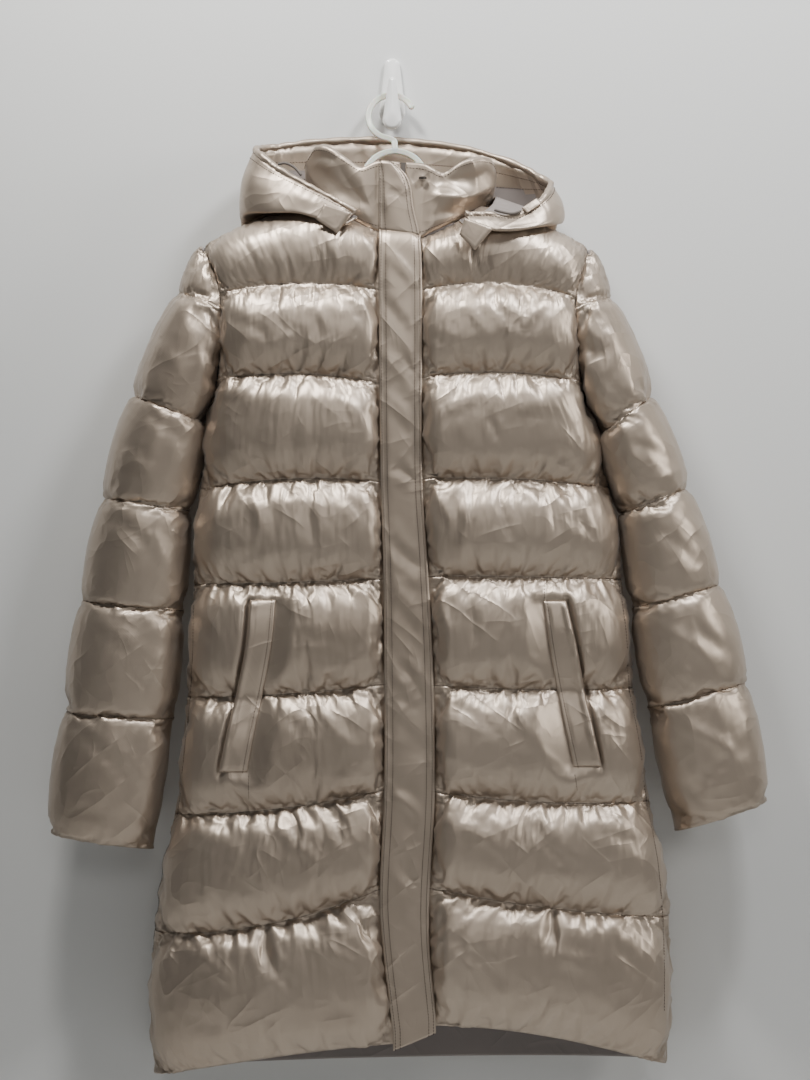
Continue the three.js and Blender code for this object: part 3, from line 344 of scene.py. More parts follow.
# Lines of sewing: columns and rows of a piece's grid, and lines drawn from the front as (x, z).
COLUMN_STITCHES = {"flap": (1, 3, -4, -2), "pocket_welt_left": (-4,), "pocket_welt_right": (-4,)}
ROW_STITCHES = {
    "hood_left_inside": (2, 4), "hood_centre_inside": (2, 4), "hood_right_inside": (2, 4),
    "hood_left": (2,), "hood_right": (2,), "collar": (2, -3),
}
TRACED_STITCHES = {
    "front_left": (
        [(-220, -564), (-220, -636), (-226, -707), (-231, -761), (-238, -817), (-245, -830), (-254, -867),
         (-262, -911), (-267, -974), (-266, -1050)],
        [(-130, -566), (-127, -578)],
        [(-157, -770), (-157, -798)],
        [(-158, -770), (-190, -770)],
    ),
    "front_right": (
        [(252, -556), (260, -618), (264, -681), (275, -743), (283, -803), (294, -867), (301, -932),
         (301, -1040)],
        [(168, -560), (168, -580)],
        [(200, -764), (204, -790)],
    ),
}

LEFT_SIDE = {"edge": LEFT_EDGE, "rows": LEFT_ROWS, "flap": "left", "zip": -ZIP_GAP, "turn": -1}
RIGHT_SIDE = {"edge": RIGHT_EDGE, "rows": RIGHT_ROWS, "flap": "right", "zip": ZIP_GAP, "turn": 1}


def read(table, key, at, column):
    """Smooth value of a column at one or many places of a table."""
    keys = np.array([row[key] for row in table], float)
    values = np.array([row[column] for row in table], float)
    at = np.asarray(at, float)
    if keys[-1] < keys[0]:
        keys, at = -keys, -at
    last = len(keys) - 1
    slopes = [
        (values[min(k + 1, last)] - values[max(k - 1, 0)]) / (keys[min(k + 1, last)] - keys[max(k - 1, 0)])
        for k in range(last + 1)
    ]
    slopes = np.array(slopes)
    at = np.clip(at, keys[0], keys[-1])
    k = np.clip(np.searchsorted(keys, at, side="left") - 1, 0, last - 1)
    span = keys[k + 1] - keys[k]
    t = (at - keys[k]) / span
    rise = values[k + 1] - values[k]
    start, end = slopes[k] * span, slopes[k + 1] * span
    return values[k] + t * start + t**2 * (3 * rise - 2 * start - end) + t**3 * (start + end - 2 * rise)


def armhole(edge, z):
    """Half opening of the armhole in Y at a height; 0 below the underarm."""
    return np.maximum(read(edge, "z", z, "spread"), 0)


def top_edge(neckline, x):
    """Points of the top edge at x: on the shoulder seams, or between them on the neckline."""
    x = np.asarray(x, float)
    neck = [LEFT_SHOULDER[-1], *neckline, RIGHT_SHOULDER[0]]
    parts = []
    for column in ("y", "z"):
        value = read(neck, "x", x, column)
        value = np.where(x < neck[0]["x"], read(LEFT_SHOULDER, "x", x, column), value)
        parts.append(np.where(x > neck[-1]["x"], read(RIGHT_SHOULDER, "x", x, column), value))
    return np.stack([x, *parts], -1)


def ring_depth(across):
    """Depth profile of a ring quarter, from 0 at the side seam to 1 at its middle."""
    return (1 - (1 - across) ** 2.6) ** (1 / 2.6)


def curve3(first, middle, last, across):
    """Height across a panel through its first, middle and last value."""
    return (
        first * (1 - across) * (1 - 2 * across)
        + 4 * middle * across * (1 - across)
        + last * across * (2 * across - 1)
    )


def front_row(side, across, down):
    """One grid row of a front's seam surface: across 0 side, 1 flap, 2 zip; down counts baffles."""
    rows = side["rows"]
    baffle = min(int(down), len(rows) - 1)
    part = down - baffle
    quilted = np.minimum(across, 1)

    def height(k):
        return curve3(rows[k]["side"], rows[k]["middle"], rows[k]["centre"], quilted)

    def spot(z):
        edge_x = read(side["edge"], "z", z, "x")
        flap_x = read(CLOSURE, "z", z, side["flap"])
        zip_x = read(CLOSURE, "z", z, "zip") + side["zip"]
        under_flap = flap_x + (zip_x - flap_x) * (across - 1)
        x = np.where(across <= 1, edge_x + (flap_x - edge_x) * across, under_flap)
        edge_y = SIDE_DEPTH - SEAM_GAP / 2 - armhole(side["edge"], z)
        y = edge_y + (read(BODY_DEPTH, "z", z, "front") - edge_y) * ring_depth(quilted)
        return np.stack([x, y, z], -1)

    low = height(baffle)
    if baffle > 0:
        return spot(height(baffle - 1) * (1 - part) + low * part)
    tip_x = side["edge"][0]["x"]
    neck_x = read(CLOSURE, "z", NECK_HEIGHT, side["flap"])
    zip_x = read(CLOSURE, "z", NECK_HEIGHT, "zip") + side["zip"]
    top_x = np.where(across <= 1, tip_x + (neck_x - tip_x) * across, neck_x + (zip_x - neck_x) * (across - 1))
    top = top_edge(FRONT_NECK, top_x) - [0, SEAM_GAP / 2, 0]
    turn = part * math.pi / 2
    chest = spot(low)
    z = top[:, 2] + (low - top[:, 2]) * (1 - math.cos(turn))
    rim = spot(z)
    y = top[:, 1] + (chest[:, 1] - top[:, 1]) * math.sin(turn)
    near = (1 - quilted) ** 4 * min(part * 8, 1)
    x = top_x + (rim[:, 0] - top_x) * math.sin(turn)
    return np.stack([x, y + (rim[:, 1] - y) * near, z], -1)


def back_row(across, down):
    """One grid row of the back's seam surface, across from left to right."""
    baffle = min(int(down), len(BACK_MIDDLE) - 1)
    part = down - baffle

    def height(k):
        return curve3(LEFT_ROWS[k]["side"], BACK_MIDDLE[k], RIGHT_ROWS[k]["side"], across)

    def spot(z):
        left_x, right_x = read(LEFT_EDGE, "z", z, "x"), read(RIGHT_EDGE, "z", z, "x")
        spread = armhole(LEFT_EDGE, z) * (1 - across) + armhole(RIGHT_EDGE, z) * across
        edge_y = SIDE_DEPTH + SEAM_GAP / 2 + spread
        depth = ring_depth(1 - np.abs(2 * across - 1))
        y = edge_y + (read(BODY_DEPTH, "z", z, "back") - edge_y) * depth
        return np.stack([left_x + (right_x - left_x) * across, y, z], -1)

    low = height(baffle)
    if baffle > 0:
        return spot(height(baffle - 1) * (1 - part) + low * part)
    tip_x = LEFT_EDGE[0]["x"] + (RIGHT_EDGE[0]["x"] - LEFT_EDGE[0]["x"]) * across
    top = top_edge(BACK_NECK, tip_x) + [0, SEAM_GAP / 2, 0]
    turn = part * math.pi / 2
    z = top[:, 2] + (low - top[:, 2]) * (1 - math.cos(turn))
    rim = spot(z)
    y = top[:, 1] + (spot(low)[:, 1] - top[:, 1]) * math.sin(turn)
    near = np.abs(2 * across - 1) ** 4 * min(part * 8, 1)
    x = tip_x + (rim[:, 0] - tip_x) * math.sin(turn)
    return np.stack([x, y + (rim[:, 1] - y) * near, z], -1)


def sleeve_row(table, edge, turn, around, down):
    """One grid row of a sleeve; above the underarm it ends on the armhole, below it closes."""
    keyed = [{**row, "place": k} for k, row in enumerate(table)]

    def value(column):
        return float(read(keyed, "place", down, column))

    outer = np.array([value("outerX"), value("outerZ")])
    inner = np.array([value("innerX"), value("innerZ")])
    spread = float(armhole(edge, inner[1]))
    opening = math.asin(min(spread / value("depth"), 1)) if down < 2 else 0
    if down <= 2:
        pull = ARMHOLE_GAP + UNDERARM_GAP * max(1 - spread / ARMHOLE_SPREAD, 0)
        inner[0] = float(read(edge, "z", inner[1], "x")) - turn * pull
    span = np.linalg.norm(inner - outer)
    reach = span / (1 + math.cos(opening))
    inward = (inner - outer) / span
    middle = outer + inward * reach
    angle = opening + (2 * math.pi - 2 * opening) * around
    spot = middle + inward * (reach * np.cos(angle))[:, None]
    return np.stack([spot[:, 0], SIDE_DEPTH - value("depth") * np.sin(angle), spot[:, 1]], -1)


def front_grid(side, across, downs):
    return np.stack([front_row(side, across, down) for down in downs])


def back_grid(across, downs):
    return np.stack([back_row(across, down) for down in downs])


def sleeve_grid(table, edge, turn, around, downs):
    return np.stack([sleeve_row(table, edge, turn, around, down) for down in downs])


def grid_normals(points, flip, joined_from=None):
    """Outward unit normals of a grid of points; rows from joined_from on close round."""
    across = np.empty_like(points)
    across[:, 1:-1] = points[:, 2:] - points[:, :-2]
    across[:, 0] = points[:, 1] - points[:, 0]
    across[:, -1] = points[:, -1] - points[:, -2]
    if joined_from is not None:
        round_step = points[joined_from:, 1] - points[joined_from:, -2]
        across[joined_from:, 0] = round_step
        across[joined_from:, -1] = round_step
    down = np.gradient(points, axis=0)
    normals = np.cross(across, down) * flip
    return normals / np.maximum(np.linalg.norm(normals, axis=2, keepdims=True), 1e-9)


def pillow(part):
    """Profile between two stitched rows, from 0 on a row to 1 at mid-baffle."""
    return np.maximum(np.sin(np.pi * part), 0) ** 0.55


def edge_fade(distance, reach):
    return np.sqrt(np.clip(distance / reach, 0, 1))


def yoke_fade(down):
    """The padding thins out towards the shoulder and neck."""
    return np.minimum(0.15 + 0.8 * down, 1)


def even_steps(count, baffles):
    """Row places of a fine grid: closer together near each stitched row."""
    part = np.arange(count) / count
    part = part - 0.1 * np.sin(2 * np.pi * part)
    return np.concatenate([np.concatenate([k + part for k in range(baffles)]), [baffles]])


def smooth_noise(shape, cells, generator):
    """Soft random field between -1 and 1, with about so many cells along each side."""
    coarse = generator.uniform(-1, 1, (cells[0] + 4, cells[1] + 4))

    def weights(count, size):
        place = np.linspace(0, size, count) + 1
        base = np.floor(place).astype(int)
        t = place - base
        spline = [
            (1 - t) ** 3 / 6,
            (3 * t**3 - 6 * t**2 + 4) / 6,
            (-3 * t**3 + 3 * t**2 + 3 * t + 1) / 6,
            t**3 / 6,
        ]
        matrix = np.zeros((count, size + 4))
        for k in range(4):
            matrix[np.arange(count), np.minimum(base - 1 + k, size + 3)] += spline[k]
        return matrix

    field = weights(shape[0], cells[0]) @ coarse @ weights(shape[1], cells[1]).T
    return field * 1.8


def grid_faces(rows, columns, joined_from=None):
    """Faces of a wall: two sheets of rows by columns of points, closed all round."""
    r, c = np.meshgrid(np.arange(rows - 1), np.arange(columns - 1), indexing="ij")
    size = rows * columns

    def at(sheet, row, column):
        row, column = np.broadcast_arrays(row, column)
        column = column.copy()
        if joined_from is not None:
            column[(row >= joined_from) & (column == columns - 1)] = 0
        return sheet * size + row * columns + column

    quads = [
        np.stack([at(0, r, c), at(0, r, c + 1), at(0, r + 1, c + 1), at(0, r + 1, c)], -1).reshape(-1, 4),
        np.stack([at(1, r, c), at(1, r + 1, c), at(1, r + 1, c + 1), at(1, r, c + 1)], -1).reshape(-1, 4),
    ]
    end = columns - 1
    k = np.arange(rows - 1 if joined_from is None else joined_from)
    quads.append(np.stack([at(0, k, 0), at(0, k + 1, 0), at(1, k + 1, 0), at(1, k, 0)], -1))
    quads.append(np.stack([at(0, k, end), at(1, k, end), at(1, k + 1, end), at(0, k + 1, end)], -1))
    k = np.arange(columns - 1)
    last = rows - 1
    quads.append(np.stack([at(0, 0, k), at(1, 0, k), at(1, 0, k + 1), at(0, 0, k + 1)], -1))
    quads.append(np.stack([at(0, last, k), at(0, last, k + 1), at(1, last, k + 1), at(1, last, k)], -1))
    return quads


def mesh_object(name, vertices, faces, materials, smooth=True):
    """Object from points in millimetres and lists of faces, with outward normals."""
    mesh = bpy.data.meshes.new(name)
    mesh.from_pydata((np.asarray(vertices) * METRE).tolist(), [], [list(map(int, face)) for face in faces])
    mesh.validate()
    edit = bmesh.new()
    edit.from_mesh(mesh)
    loose = [v for v in edit.verts if not v.link_faces]
    bmesh.ops.delete(edit, geom=loose, context="VERTS")
    bmesh.ops.recalc_face_normals(edit, faces=edit.faces)
    edit.to_mesh(mesh)
    edit.free()
    for finish in materials:
        mesh.materials.append(finish)
    mesh.polygons.foreach_set("use_smooth", [smooth] * len(mesh.polygons))
    piece = bpy.data.objects.new(name, mesh)
    bpy.context.collection.objects.link(piece)
    return piece


def moved(points, normals, distance):
    return points + normals * np.asarray(distance)[..., None]


def creases(points, table):
    """Troughs given one by one: each runs from one point to another, with a depth and a half width."""
    field = np.zeros(points.shape[:2])
    flat = points[..., [0, 2]]
    for low_x, low_z, high_x, high_z, bend, deep, wide in table:
        start = np.array([low_x, low_z], float)
        run = np.array([high_x, high_z], float) - start
        length = np.linalg.norm(run)
        part = np.clip(((flat - start) @ run) / length**2, 0, 1)
        side = np.array([-run[1], run[0]]) / length
        bow = bend * np.sin(np.pi * part)
        nearest = start + part[..., None] * run + bow[..., None] * side
        away = np.linalg.norm(flat - nearest, axis=2)
        taper = np.sin(np.pi * np.clip(part, 0.02, 0.98)) ** 0.6
        trough = np.exp(-((away / wide) ** 1.25))
        ridge = np.exp(-(((away - 2.1 * wide) / (1.1 * wide)) ** 2)) * 0.35
        field += (ridge - trough) * taper * deep
    return field


def ring_steps(columns):
    """Steps from 0 to 1, closer together at the side, where the ring turns fast."""
    even = np.linspace(0, 1, columns + 1)
    return even - 0.55 * np.sin(np.pi * even) * (1 - even) ** 2 * 0.35


def inflate(outside, normals, held, joined_from, frames):
    """Blows a quilted sheet up between its held stitch lines, so that it puckers as sewn cloth does."""
    rows, columns = outside.shape[:2]
    quads = grid_faces(rows, columns, joined_from)[0]
    sheet = bpy.data.meshes.new("padding")
    sheet.from_pydata((outside.reshape(-1, 3) * METRE).tolist(), [], quads.tolist())
    first = sheet.polygons[len(quads) // 2]
    if Vector(normals.reshape(-1, 3)[first.vertices[0]]).dot(first.normal) < 0:
        sheet.flip_normals()
    piece = bpy.data.objects.new("padding", sheet)
    bpy.context.collection.objects.link(piece)
    group = piece.vertex_groups.new(name="stitched")
    group.add(np.nonzero(held.reshape(-1))[0].tolist(), 1.0, "REPLACE")
    cloth = piece.modifiers.new("Padding", "CLOTH")
    settings = cloth.settings
    settings.quality = 3
    settings.mass = 0.01
    settings.vertex_group_mass = group.name
    settings.tension_stiffness = 15
    settings.compression_stiffness = 15
    settings.shear_stiffness = 5
    settings.bending_stiffness = 0.05
    settings.air_damping = 1
    settings.use_pressure = True
    settings.uniform_pressure_force = SIM_PRESSURE
    settings.shrink_min = -SIM_SLACK
    settings.effector_weights.gravity = 0
    cloth.collision_settings.use_collision = False
    cloth.point_cache.frame_start = 1
    cloth.point_cache.frame_end = frames
    for frame_number in range(1, frames + 1):
        bpy.context.scene.frame_set(frame_number)
    settled = piece.evaluated_get(bpy.context.evaluated_depsgraph_get())
    places = np.empty(rows * columns * 3)
    settled.data.vertices.foreach_get("co", places)
    bpy.data.objects.remove(piece)
    bpy.data.meshes.remove(sheet)
    bpy.context.scene.frame_set(1)
    result = places.reshape(rows, columns, 3) / METRE
    if joined_from is not None:
        result[joined_from:, -1] = result[joined_from:, 0]
    return result


def quilted(points, normals, lift, held, joined_from=None, cap=9.0):
    """Outer points of a quilted panel: blown up, capped and kept clear of its lining."""
    generator = np.random.default_rng(SEED)
    start = lift * 0.86 + generator.normal(0, 0.25, lift.shape) * (lift > 2.2)
    outside = moved(points, normals, start)
    settled = inflate(outside, normals, held, joined_from, SIM_FRAMES)
    shift = settled - outside
    size = np.linalg.norm(shift, axis=2, keepdims=True)
    outside = outside + shift * np.minimum(1, cap / np.maximum(size, 1e-6))
    rise = np.einsum("rck,rck->rc", outside - points, normals)
    return outside + normals * np.maximum(0.6 - rise, 0)[..., None]


def row_gathers(points, downs, generator, depth):
    """Fine puckers that run out of each stitched row and fade into the baffles beside it."""
    width = np.linalg.norm(np.diff(points, axis=1), axis=2)
    along = np.concatenate([np.zeros((len(points), 1)), np.cumsum(width, axis=1)], axis=1)
    field = np.zeros(points.shape[:2])
    for k in range(1, int(downs[-1]) + 1):
        row = min(k * BAFFLE_STEPS, len(points) - 1)
        for low, high in ((k - 1, k), (k, k + 1)):
            chosen = (downs >= low) & (downs <= high)
            away = np.linalg.norm(points[chosen] - points[row], axis=2)
            rise = np.clip(away / 3, 0.3, 1)
            for narrow, wide, short, long, share in GATHER_SIZES:
                waves, reach = ruching(along[row], generator, narrow, wide, short, long)
                field[chosen] += (0.6 - waves) * np.exp(-((away / reach) ** 1.3)) * rise * depth * share
    return field


def wall_object(name, outside, inside, materials, joined_from=None):
    rows, columns = outside.shape[:2]
    quads = grid_faces(rows, columns, joined_from)
    faces = np.concatenate(quads)
    vertices = np.concatenate([outside.reshape(-1, 3), inside.reshape(-1, 3)])
    piece = mesh_object(name, vertices, faces, materials)
    if len(materials) > 1 and len(piece.data.polygons) == len(faces):
        slots = np.zeros(len(faces), int)
        slots[len(quads[0]) : len(quads[0]) + len(quads[1])] = 1
        piece.data.polygons.foreach_set("material_index", slots)
    return piece


def build_front(name, side, creased, welt, materials):
    generator = np.random.default_rng(SEED + side["turn"])
    across = np.concatenate([ring_steps(FRONT_COLUMNS), [1.5, 2.0]])
    downs = even_steps(BAFFLE_STEPS, len(side["rows"]))
    points = front_grid(side, across, downs)
    normals = grid_normals(points, side["turn"])
    width = np.abs(points[:, FRONT_COLUMNS, 0] - points[:, 0, 0])[:, None]
    fade = edge_fade(across * width, 34) * edge_fade((1 - across) * width, 18)
    lift = panel_lift(points, downs, fade, FRONT_CROWN, generator)
    held = held_lines(points)
    held[:, FRONT_COLUMNS:] = True
    outside = quilted(points, normals, lift, held)
    folds = creases(points, creased) * np.clip(lift / FRONT_CROWN, 0, 1)
    puckers = row_gathers(points, downs, generator, GATHER_DEPTH)
    puckers[:, FRONT_COLUMNS:] = 0
    outside = moved(outside, normals, folds + puckers)
    outside = pressed_under_welt(outside, side, welt)
    inside = moved(points, normals, np.full(points.shape[:2], -LINING_DEPTH))
    return wall_object(name, outside, inside, materials), outside, normals


def panel_lift(points, downs, width_fade, crown, generator):
    """Rise of a quilted panel's outer points over its seam surface, with uneven stuffing."""
    body = pillow(downs % 1)[:, None] * width_fade * yoke_fade(downs)[:, None]
    uneven = 1 + 0.16 * smooth_noise(points.shape[:2], (len(BACK_MIDDLE) * 2, 4), generator)
    return SEAM_RISE + crown * body * uneven


def held_lines(points):
    """Stitched rows and borders of a panel's grid."""
    held = np.zeros(points.shape[:2], bool)
    held[::BAFFLE_STEPS] = True
    held[-1] = True
    held[:, 0] = True
    held[:, -1] = True
    return held


def build_back(creased, materials):
    generator = np.random.default_rng(SEED + 3)
    even = np.linspace(-1, 1, BACK_COLUMNS + 1)
    across = 0.5 + 0.5 * (0.35 * even + 0.65 * np.sin(even * math.pi / 2))
    downs = even_steps(BAFFLE_STEPS, len(BACK_MIDDLE))
    points = back_grid(across, downs)
    normals = grid_normals(points, 1)
    width = np.abs(points[:, -1, 0] - points[:, 0, 0])[:, None]
    fade = edge_fade(np.minimum(across, 1 - across) * width, 34)
    lift = panel_lift(points, downs, fade, BACK_CROWN, generator)
    outside = quilted(points, normals, lift, held_lines(points))
    folds = creases(points, creased) * np.clip(lift / BACK_CROWN, 0, 1)
    outside = moved(outside, normals, folds + row_gathers(points, downs, generator, GATHER_DEPTH))
    outside[..., 1] = np.minimum(outside[..., 1], BACK_LIMIT)
    inside = moved(points, normals, np.full(points.shape[:2], -LINING_DEPTH))
    return wall_object("back", outside, inside, materials), outside, normals


def build_sleeve(name, table, edge, turn, creased, materials):
    generator = np.random.default_rng(SEED + 7 * turn + 20)
    around = np.linspace(0, 1, SLEEVE_COLUMNS + 1)
    downs = even_steps(BAFFLE_STEPS, len(table) - 1)
    points = sleeve_grid(table, edge, turn, around, downs)
    joined_from = 2 * BAFFLE_STEPS
    points[joined_from:, -1] = points[joined_from:, 0]
    normals = grid_normals(points, turn, joined_from)
    upper = (downs < 2)[:, None]
    fade = np.where(upper, edge_fade(np.minimum(around, 1 - around), 0.14)[None], 1.0)
    slack = np.where(upper, 1.0, 0.12 + 0.88 * np.maximum(np.sin(np.pi * around), 0)[None] ** 0.7)
    head = np.where(downs < 1, 0.6, 1.0)[:, None]
    uneven = 1 + 0.16 * smooth_noise(points.shape[:2], (10, 6), generator)
    uneven[:, -1] = uneven[:, 0]
    lift = SEAM_RISE + SLEEVE_CROWN * pillow(downs % 1)[:, None] * fade * slack * head * uneven
    held = held_lines(points)
    held[joined_from + 1 :, 0] = False
    held[joined_from + 1 :, -1] = False
    outside = quilted(points, normals, lift, held, joined_from, cap=6.0)
    front = np.clip(-normals[..., 1] * 2, 0, 1)
    folds = creases(points, creased) * np.clip(lift / SLEEVE_CROWN, 0, 1) * front
    outside = moved(outside, normals, folds + row_gathers(points, downs, generator, GATHER_DEPTH))
    outside[joined_from:, -1] = outside[joined_from:, 0]
    inside = moved(points, normals, np.full(points.shape[:2], -LINING_DEPTH))
    inside[joined_from:, -1] = inside[joined_from:, 0]
    return wall_object(name, outside, inside, materials, joined_from), outside, normals


def collar_grid(parts, places):
    """Seam surface of the collar: places run along its stations, parts from foot to top."""
    keyed = [{**row, "place": k} for k, row in enumerate(COLLAR_RING)]
    rises = [{"place": k, "rise": row.get("rise", FOOT_RISE)} for k, row in enumerate(COLLAR_RING)]
    top = np.stack([read(keyed, "place", places, column) for column in ("topX", "topY", "topZ")], -1)
    foot_x = read(keyed, "place", places, "foot")
    first = next(k for k, row in enumerate(COLLAR_RING) if row.get("back"))
    last = max(k for k, row in enumerate(COLLAR_RING) if row.get("back"))
    behind = ((places > first - 0.5) & (places < last + 0.5))[:, None]
    foot = np.where(behind, top_edge(BACK_NECK, foot_x), top_edge(FRONT_NECK, foot_x))
    foot[:, 2] += read(rises, "place", places, "rise")
    return foot[None] * (1 - parts[:, None, None]) + top[None] * parts[:, None, None]


def build_collar(materials):
    generator = np.random.default_rng(SEED + 40)
    last = len(COLLAR_RING) - 1
    places = np.linspace(0, last, COLLAR_COLUMNS + 1)
    parts = np.linspace(0, 1, COLLAR_STEPS + 1)
    points = collar_grid(parts, places)
    normals = grid_normals(points, -1)
    free = np.clip(np.minimum(places, last - places) - 1, 0, 1)[None]
    lift = SEAM_RISE + COLLAR_CROWN * pillow(parts)[:, None] * free
    edge = np.minimum(parts, 1 - parts)[:, None]
    soft = 0.9 * smooth_noise(points.shape[:2], (3, 24), generator) * np.clip(edge * 5, 0, 1)
    fine = 0.5 * smooth_noise(points.shape[:2], (3, 90), generator) * np.exp(-((edge / 0.12) ** 2))
    folds = creases(points, COLLAR_CREASES) * (points[..., 1] < SIDE_DEPTH)
    rise = lift + (soft + fine + folds) * free
    from_snap = np.linalg.norm(points[..., [0, 2]] - SNAP_PLACE, axis=2)
    held_flat = np.exp(-((from_snap / 9) ** 4)) * (points[..., 1] < SIDE_DEPTH)
    rise = rise * (1 - held_flat) + (lift - 2.6) * held_flat
    outside = moved(points, normals, np.maximum(rise, 0.8))
    inside = moved(points, normals, np.full(points.shape[:2], -LINING_DEPTH))
    return wall_object("collar", outside, inside, materials), outside, normals


def closure_grid(parts, down_steps):
    """Seam surface between the fronts, from the collar's top to the hem; parts run across the flap."""
    rows = []
    last = len(COLLAR_RING) - 1
    ends = np.array([1.0, last - 1.0])
    for part in np.linspace(1, 0, down_steps + 1)[:-1]:
        left, right = collar_grid(np.array([part]), ends)[0]
        rows.append((left, right))
    for down in even_steps(down_steps, len(LEFT_ROWS)):
        rows.append([front_row(side, np.array([1.0]), down)[0] for side in (LEFT_SIDE, RIGHT_SIDE)])
    grid = []
    for left, right in rows:
        height = (left[2] + right[2]) / 2
        low_x = float(read(CLOSURE, "z", height, "left"))
        high_x = float(read(CLOSURE, "z", height, "right"))
        x = low_x + (high_x - low_x) * parts
        part = (x - left[0]) / (right[0] - left[0])
        deep = left[1] + (right[1] - left[1]) * part
        high = left[2] + (right[2] - left[2]) * part
        grid.append(np.stack([x, deep, high], -1))
    return np.stack(grid)


def build_flap(materials):
    generator = np.random.default_rng(SEED + 50)
    parts = np.linspace(0.012, 0.988, FLAP_COLUMNS + 1)
    points = closure_grid(parts, FLAP_STEPS)
    hem = points[-1] + np.array([0, 0, -FLAP_BELOW_HEM])
    extra = [points[-1] * (1 - t) + hem * t for t in (0.33, 0.66, 1.0)]
    points = np.concatenate([points, np.stack(extra)])
    normals = grid_normals(points, -1)
    flat = np.minimum(parts, 1 - parts)[None]
    crown = FLAP_CROWN * np.clip((flat - 0.14) / 0.12, 0, 1) ** 0.5
    channel = -0.7 * np.exp(-(((flat - 0.085) / 0.03) ** 2))
    soft = smooth_noise(points.shape[:2], (34, 3), generator) * np.clip((flat - 0.1) / 0.1, 0, 1)
    folds = creases(points, FLAP_CREASES) * np.clip((flat - 0.1) / 0.08, 0, 1)
    lift = FLAP_SEAT + FLAP_THICKNESS + crown + channel + 0.9 * soft + folds
    outside = moved(points, normals, np.maximum(lift, FLAP_SEAT + 1.2))
    inside = moved(points, normals, np.full(points.shape[:2], FLAP_SEAT))
    return wall_object("flap", outside, inside, materials), outside, normals


def place_on_front(side, x, z):
    """Place on a front's grid of the point at x and z, for one point."""
    edge_x = float(read(side["edge"], "z", z, "x"))
    across = (x - edge_x) / (float(read(CLOSURE, "z", z, side["flap"])) - edge_x)
    heights = [float(curve3(row["side"], row["middle"], row["centre"], across)) for row in side["rows"]]
    k = 1
    while heights[k] > z:
        k += 1
    return across, k + (heights[k - 1] - z) / (heights[k - 1] - heights[k])


def welt_line(side, table, rounds=10):
    """Heights of a welt and the depth of its middle line, smoothed over the padding."""
    heights = np.linspace(table[0]["z"], table[-1]["z"], WELT_STEPS)
    depths = []
    for z in heights:
        x = (float(read(table, "z", z, "outer")) + float(read(table, "z", z, "inner"))) / 2
        across, down = place_on_front(side, x, z)
        spot = front_row(side, np.array([across]), down)[0]
        width = abs(float(read(side["edge"], "z", z, "x")) - float(read(CLOSURE, "z", z, side["flap"])))
        fade = edge_fade(across * width, 40) * edge_fade((1 - across) * width, 22)
        depths.append(spot[1] - SEAM_RISE - FRONT_CROWN * pillow(down % 1) * fade - WELT_CLEAR)
    return heights, smooth_rows(np.array(depths)[:, None], rounds)[:, 0]


def pressed_under_welt(outside, side, table):
    """Holds the padding of a front flat behind its welt, and lets it swell again beside it."""
    heights, depths = welt_line(side, table)
    z = outside[..., 2]
    limit = np.interp(z, heights[::-1], depths[::-1])
    outer, inner = read(table, "z", z, "outer"), read(table, "z", z, "inner")
    beside = np.maximum(np.abs(outside[..., 0] - (outer + inner) / 2) - np.abs(outer - inner) / 2 - 1, 0)
    past = np.maximum(np.maximum(z - heights[0], heights[-1] - z), 0)
    away = np.hypot(beside, past)
    mouth = np.exp(-(((outside[..., 0] - outer) / 3.2) ** 2)) * np.clip(1 - past / 4, 0, 1)
    result = outside.copy()
    result[..., 1] = np.maximum(outside[..., 1], limit + 0.8 - 0.5 * away) + MOUTH_DEPTH * mouth
    return result


def build_welt(name, side, table, materials):
    """A slanted welt on its front: a strip laid over the padding, with its long edges turned in."""
    heights, depths = welt_line(side, table)
    parts = np.array([0, 0.05, 0.11, 0.18, 0.25, 0.31, 0.38, 0.5, 0.65, 0.78, 0.85, 0.9, 0.96, 1])
    outer, inner = read(table, "z", heights, "outer"), read(table, "z", heights, "inner")
    generator = np.random.default_rng(SEED + 80 + side["turn"])
    points = np.zeros((WELT_STEPS, len(parts), 3))
    points[..., 0] = outer[:, None] * (1 - parts) + inner[:, None] * parts
    points[..., 1] = depths[:, None]
    points[..., 2] = heights[:, None]
    normals = grid_normals(points, side["turn"])
    roll = 2.1 * np.exp(-(((parts - 0.13) / 0.11) ** 2))[None]
    ruche = smooth_noise(points.shape[:2], (26, 2), generator)
    seam = np.exp(-(((parts - 0.87) / 0.05) ** 2))[None]
    ends = np.minimum(np.arange(WELT_STEPS), np.arange(WELT_STEPS)[::-1])[:, None]
    body = WELT_THICKNESS * 0.8 * np.clip((1 - parts) * 9 + 0.2, 0, 1) * np.clip(parts * 12 + 0.4, 0, 1)
    soft = 0.8 * smooth_noise(points.shape[:2], (12, 2), generator)
    lift = body + roll * (1 + 0.5 * ruche) + soft * np.clip((1 - parts) * 4, 0, 1) - seam * (1 + 0.6 * ruche)
    lift = lift * np.clip(0.3 + ends / 2.5, 0, 1)
    outside = moved(points, normals, np.maximum(lift, 0.6))
    inside = moved(points, normals, np.zeros(points.shape[:2]))
    return wall_object(name, outside, inside, materials), outside, normals


def traced(outside, normals, line):
    """Points of a panel's outside under a line drawn from the front, as x at each height."""
    heights, places = np.array([z for _, z in line][::-1]), np.array([x for x, _ in line][::-1])
    run = []
    for row, out in zip(outside[:, :FRONT_COLUMNS], normals[:, :FRONT_COLUMNS]):
        order = np.argsort(row[:, 0])
        x = np.interp(row[:, 2].mean(), heights, places)
        z = np.interp(x, row[order, 0], row[order, 2])
        if heights[0] <= z <= heights[-1]:
            x = np.interp(z, heights, places)
            lifted = row[order] + out[order] * 0.25
            run.append([np.interp(x, row[order, 0], lifted[:, k]) for k in range(3)])
    return np.array(run)


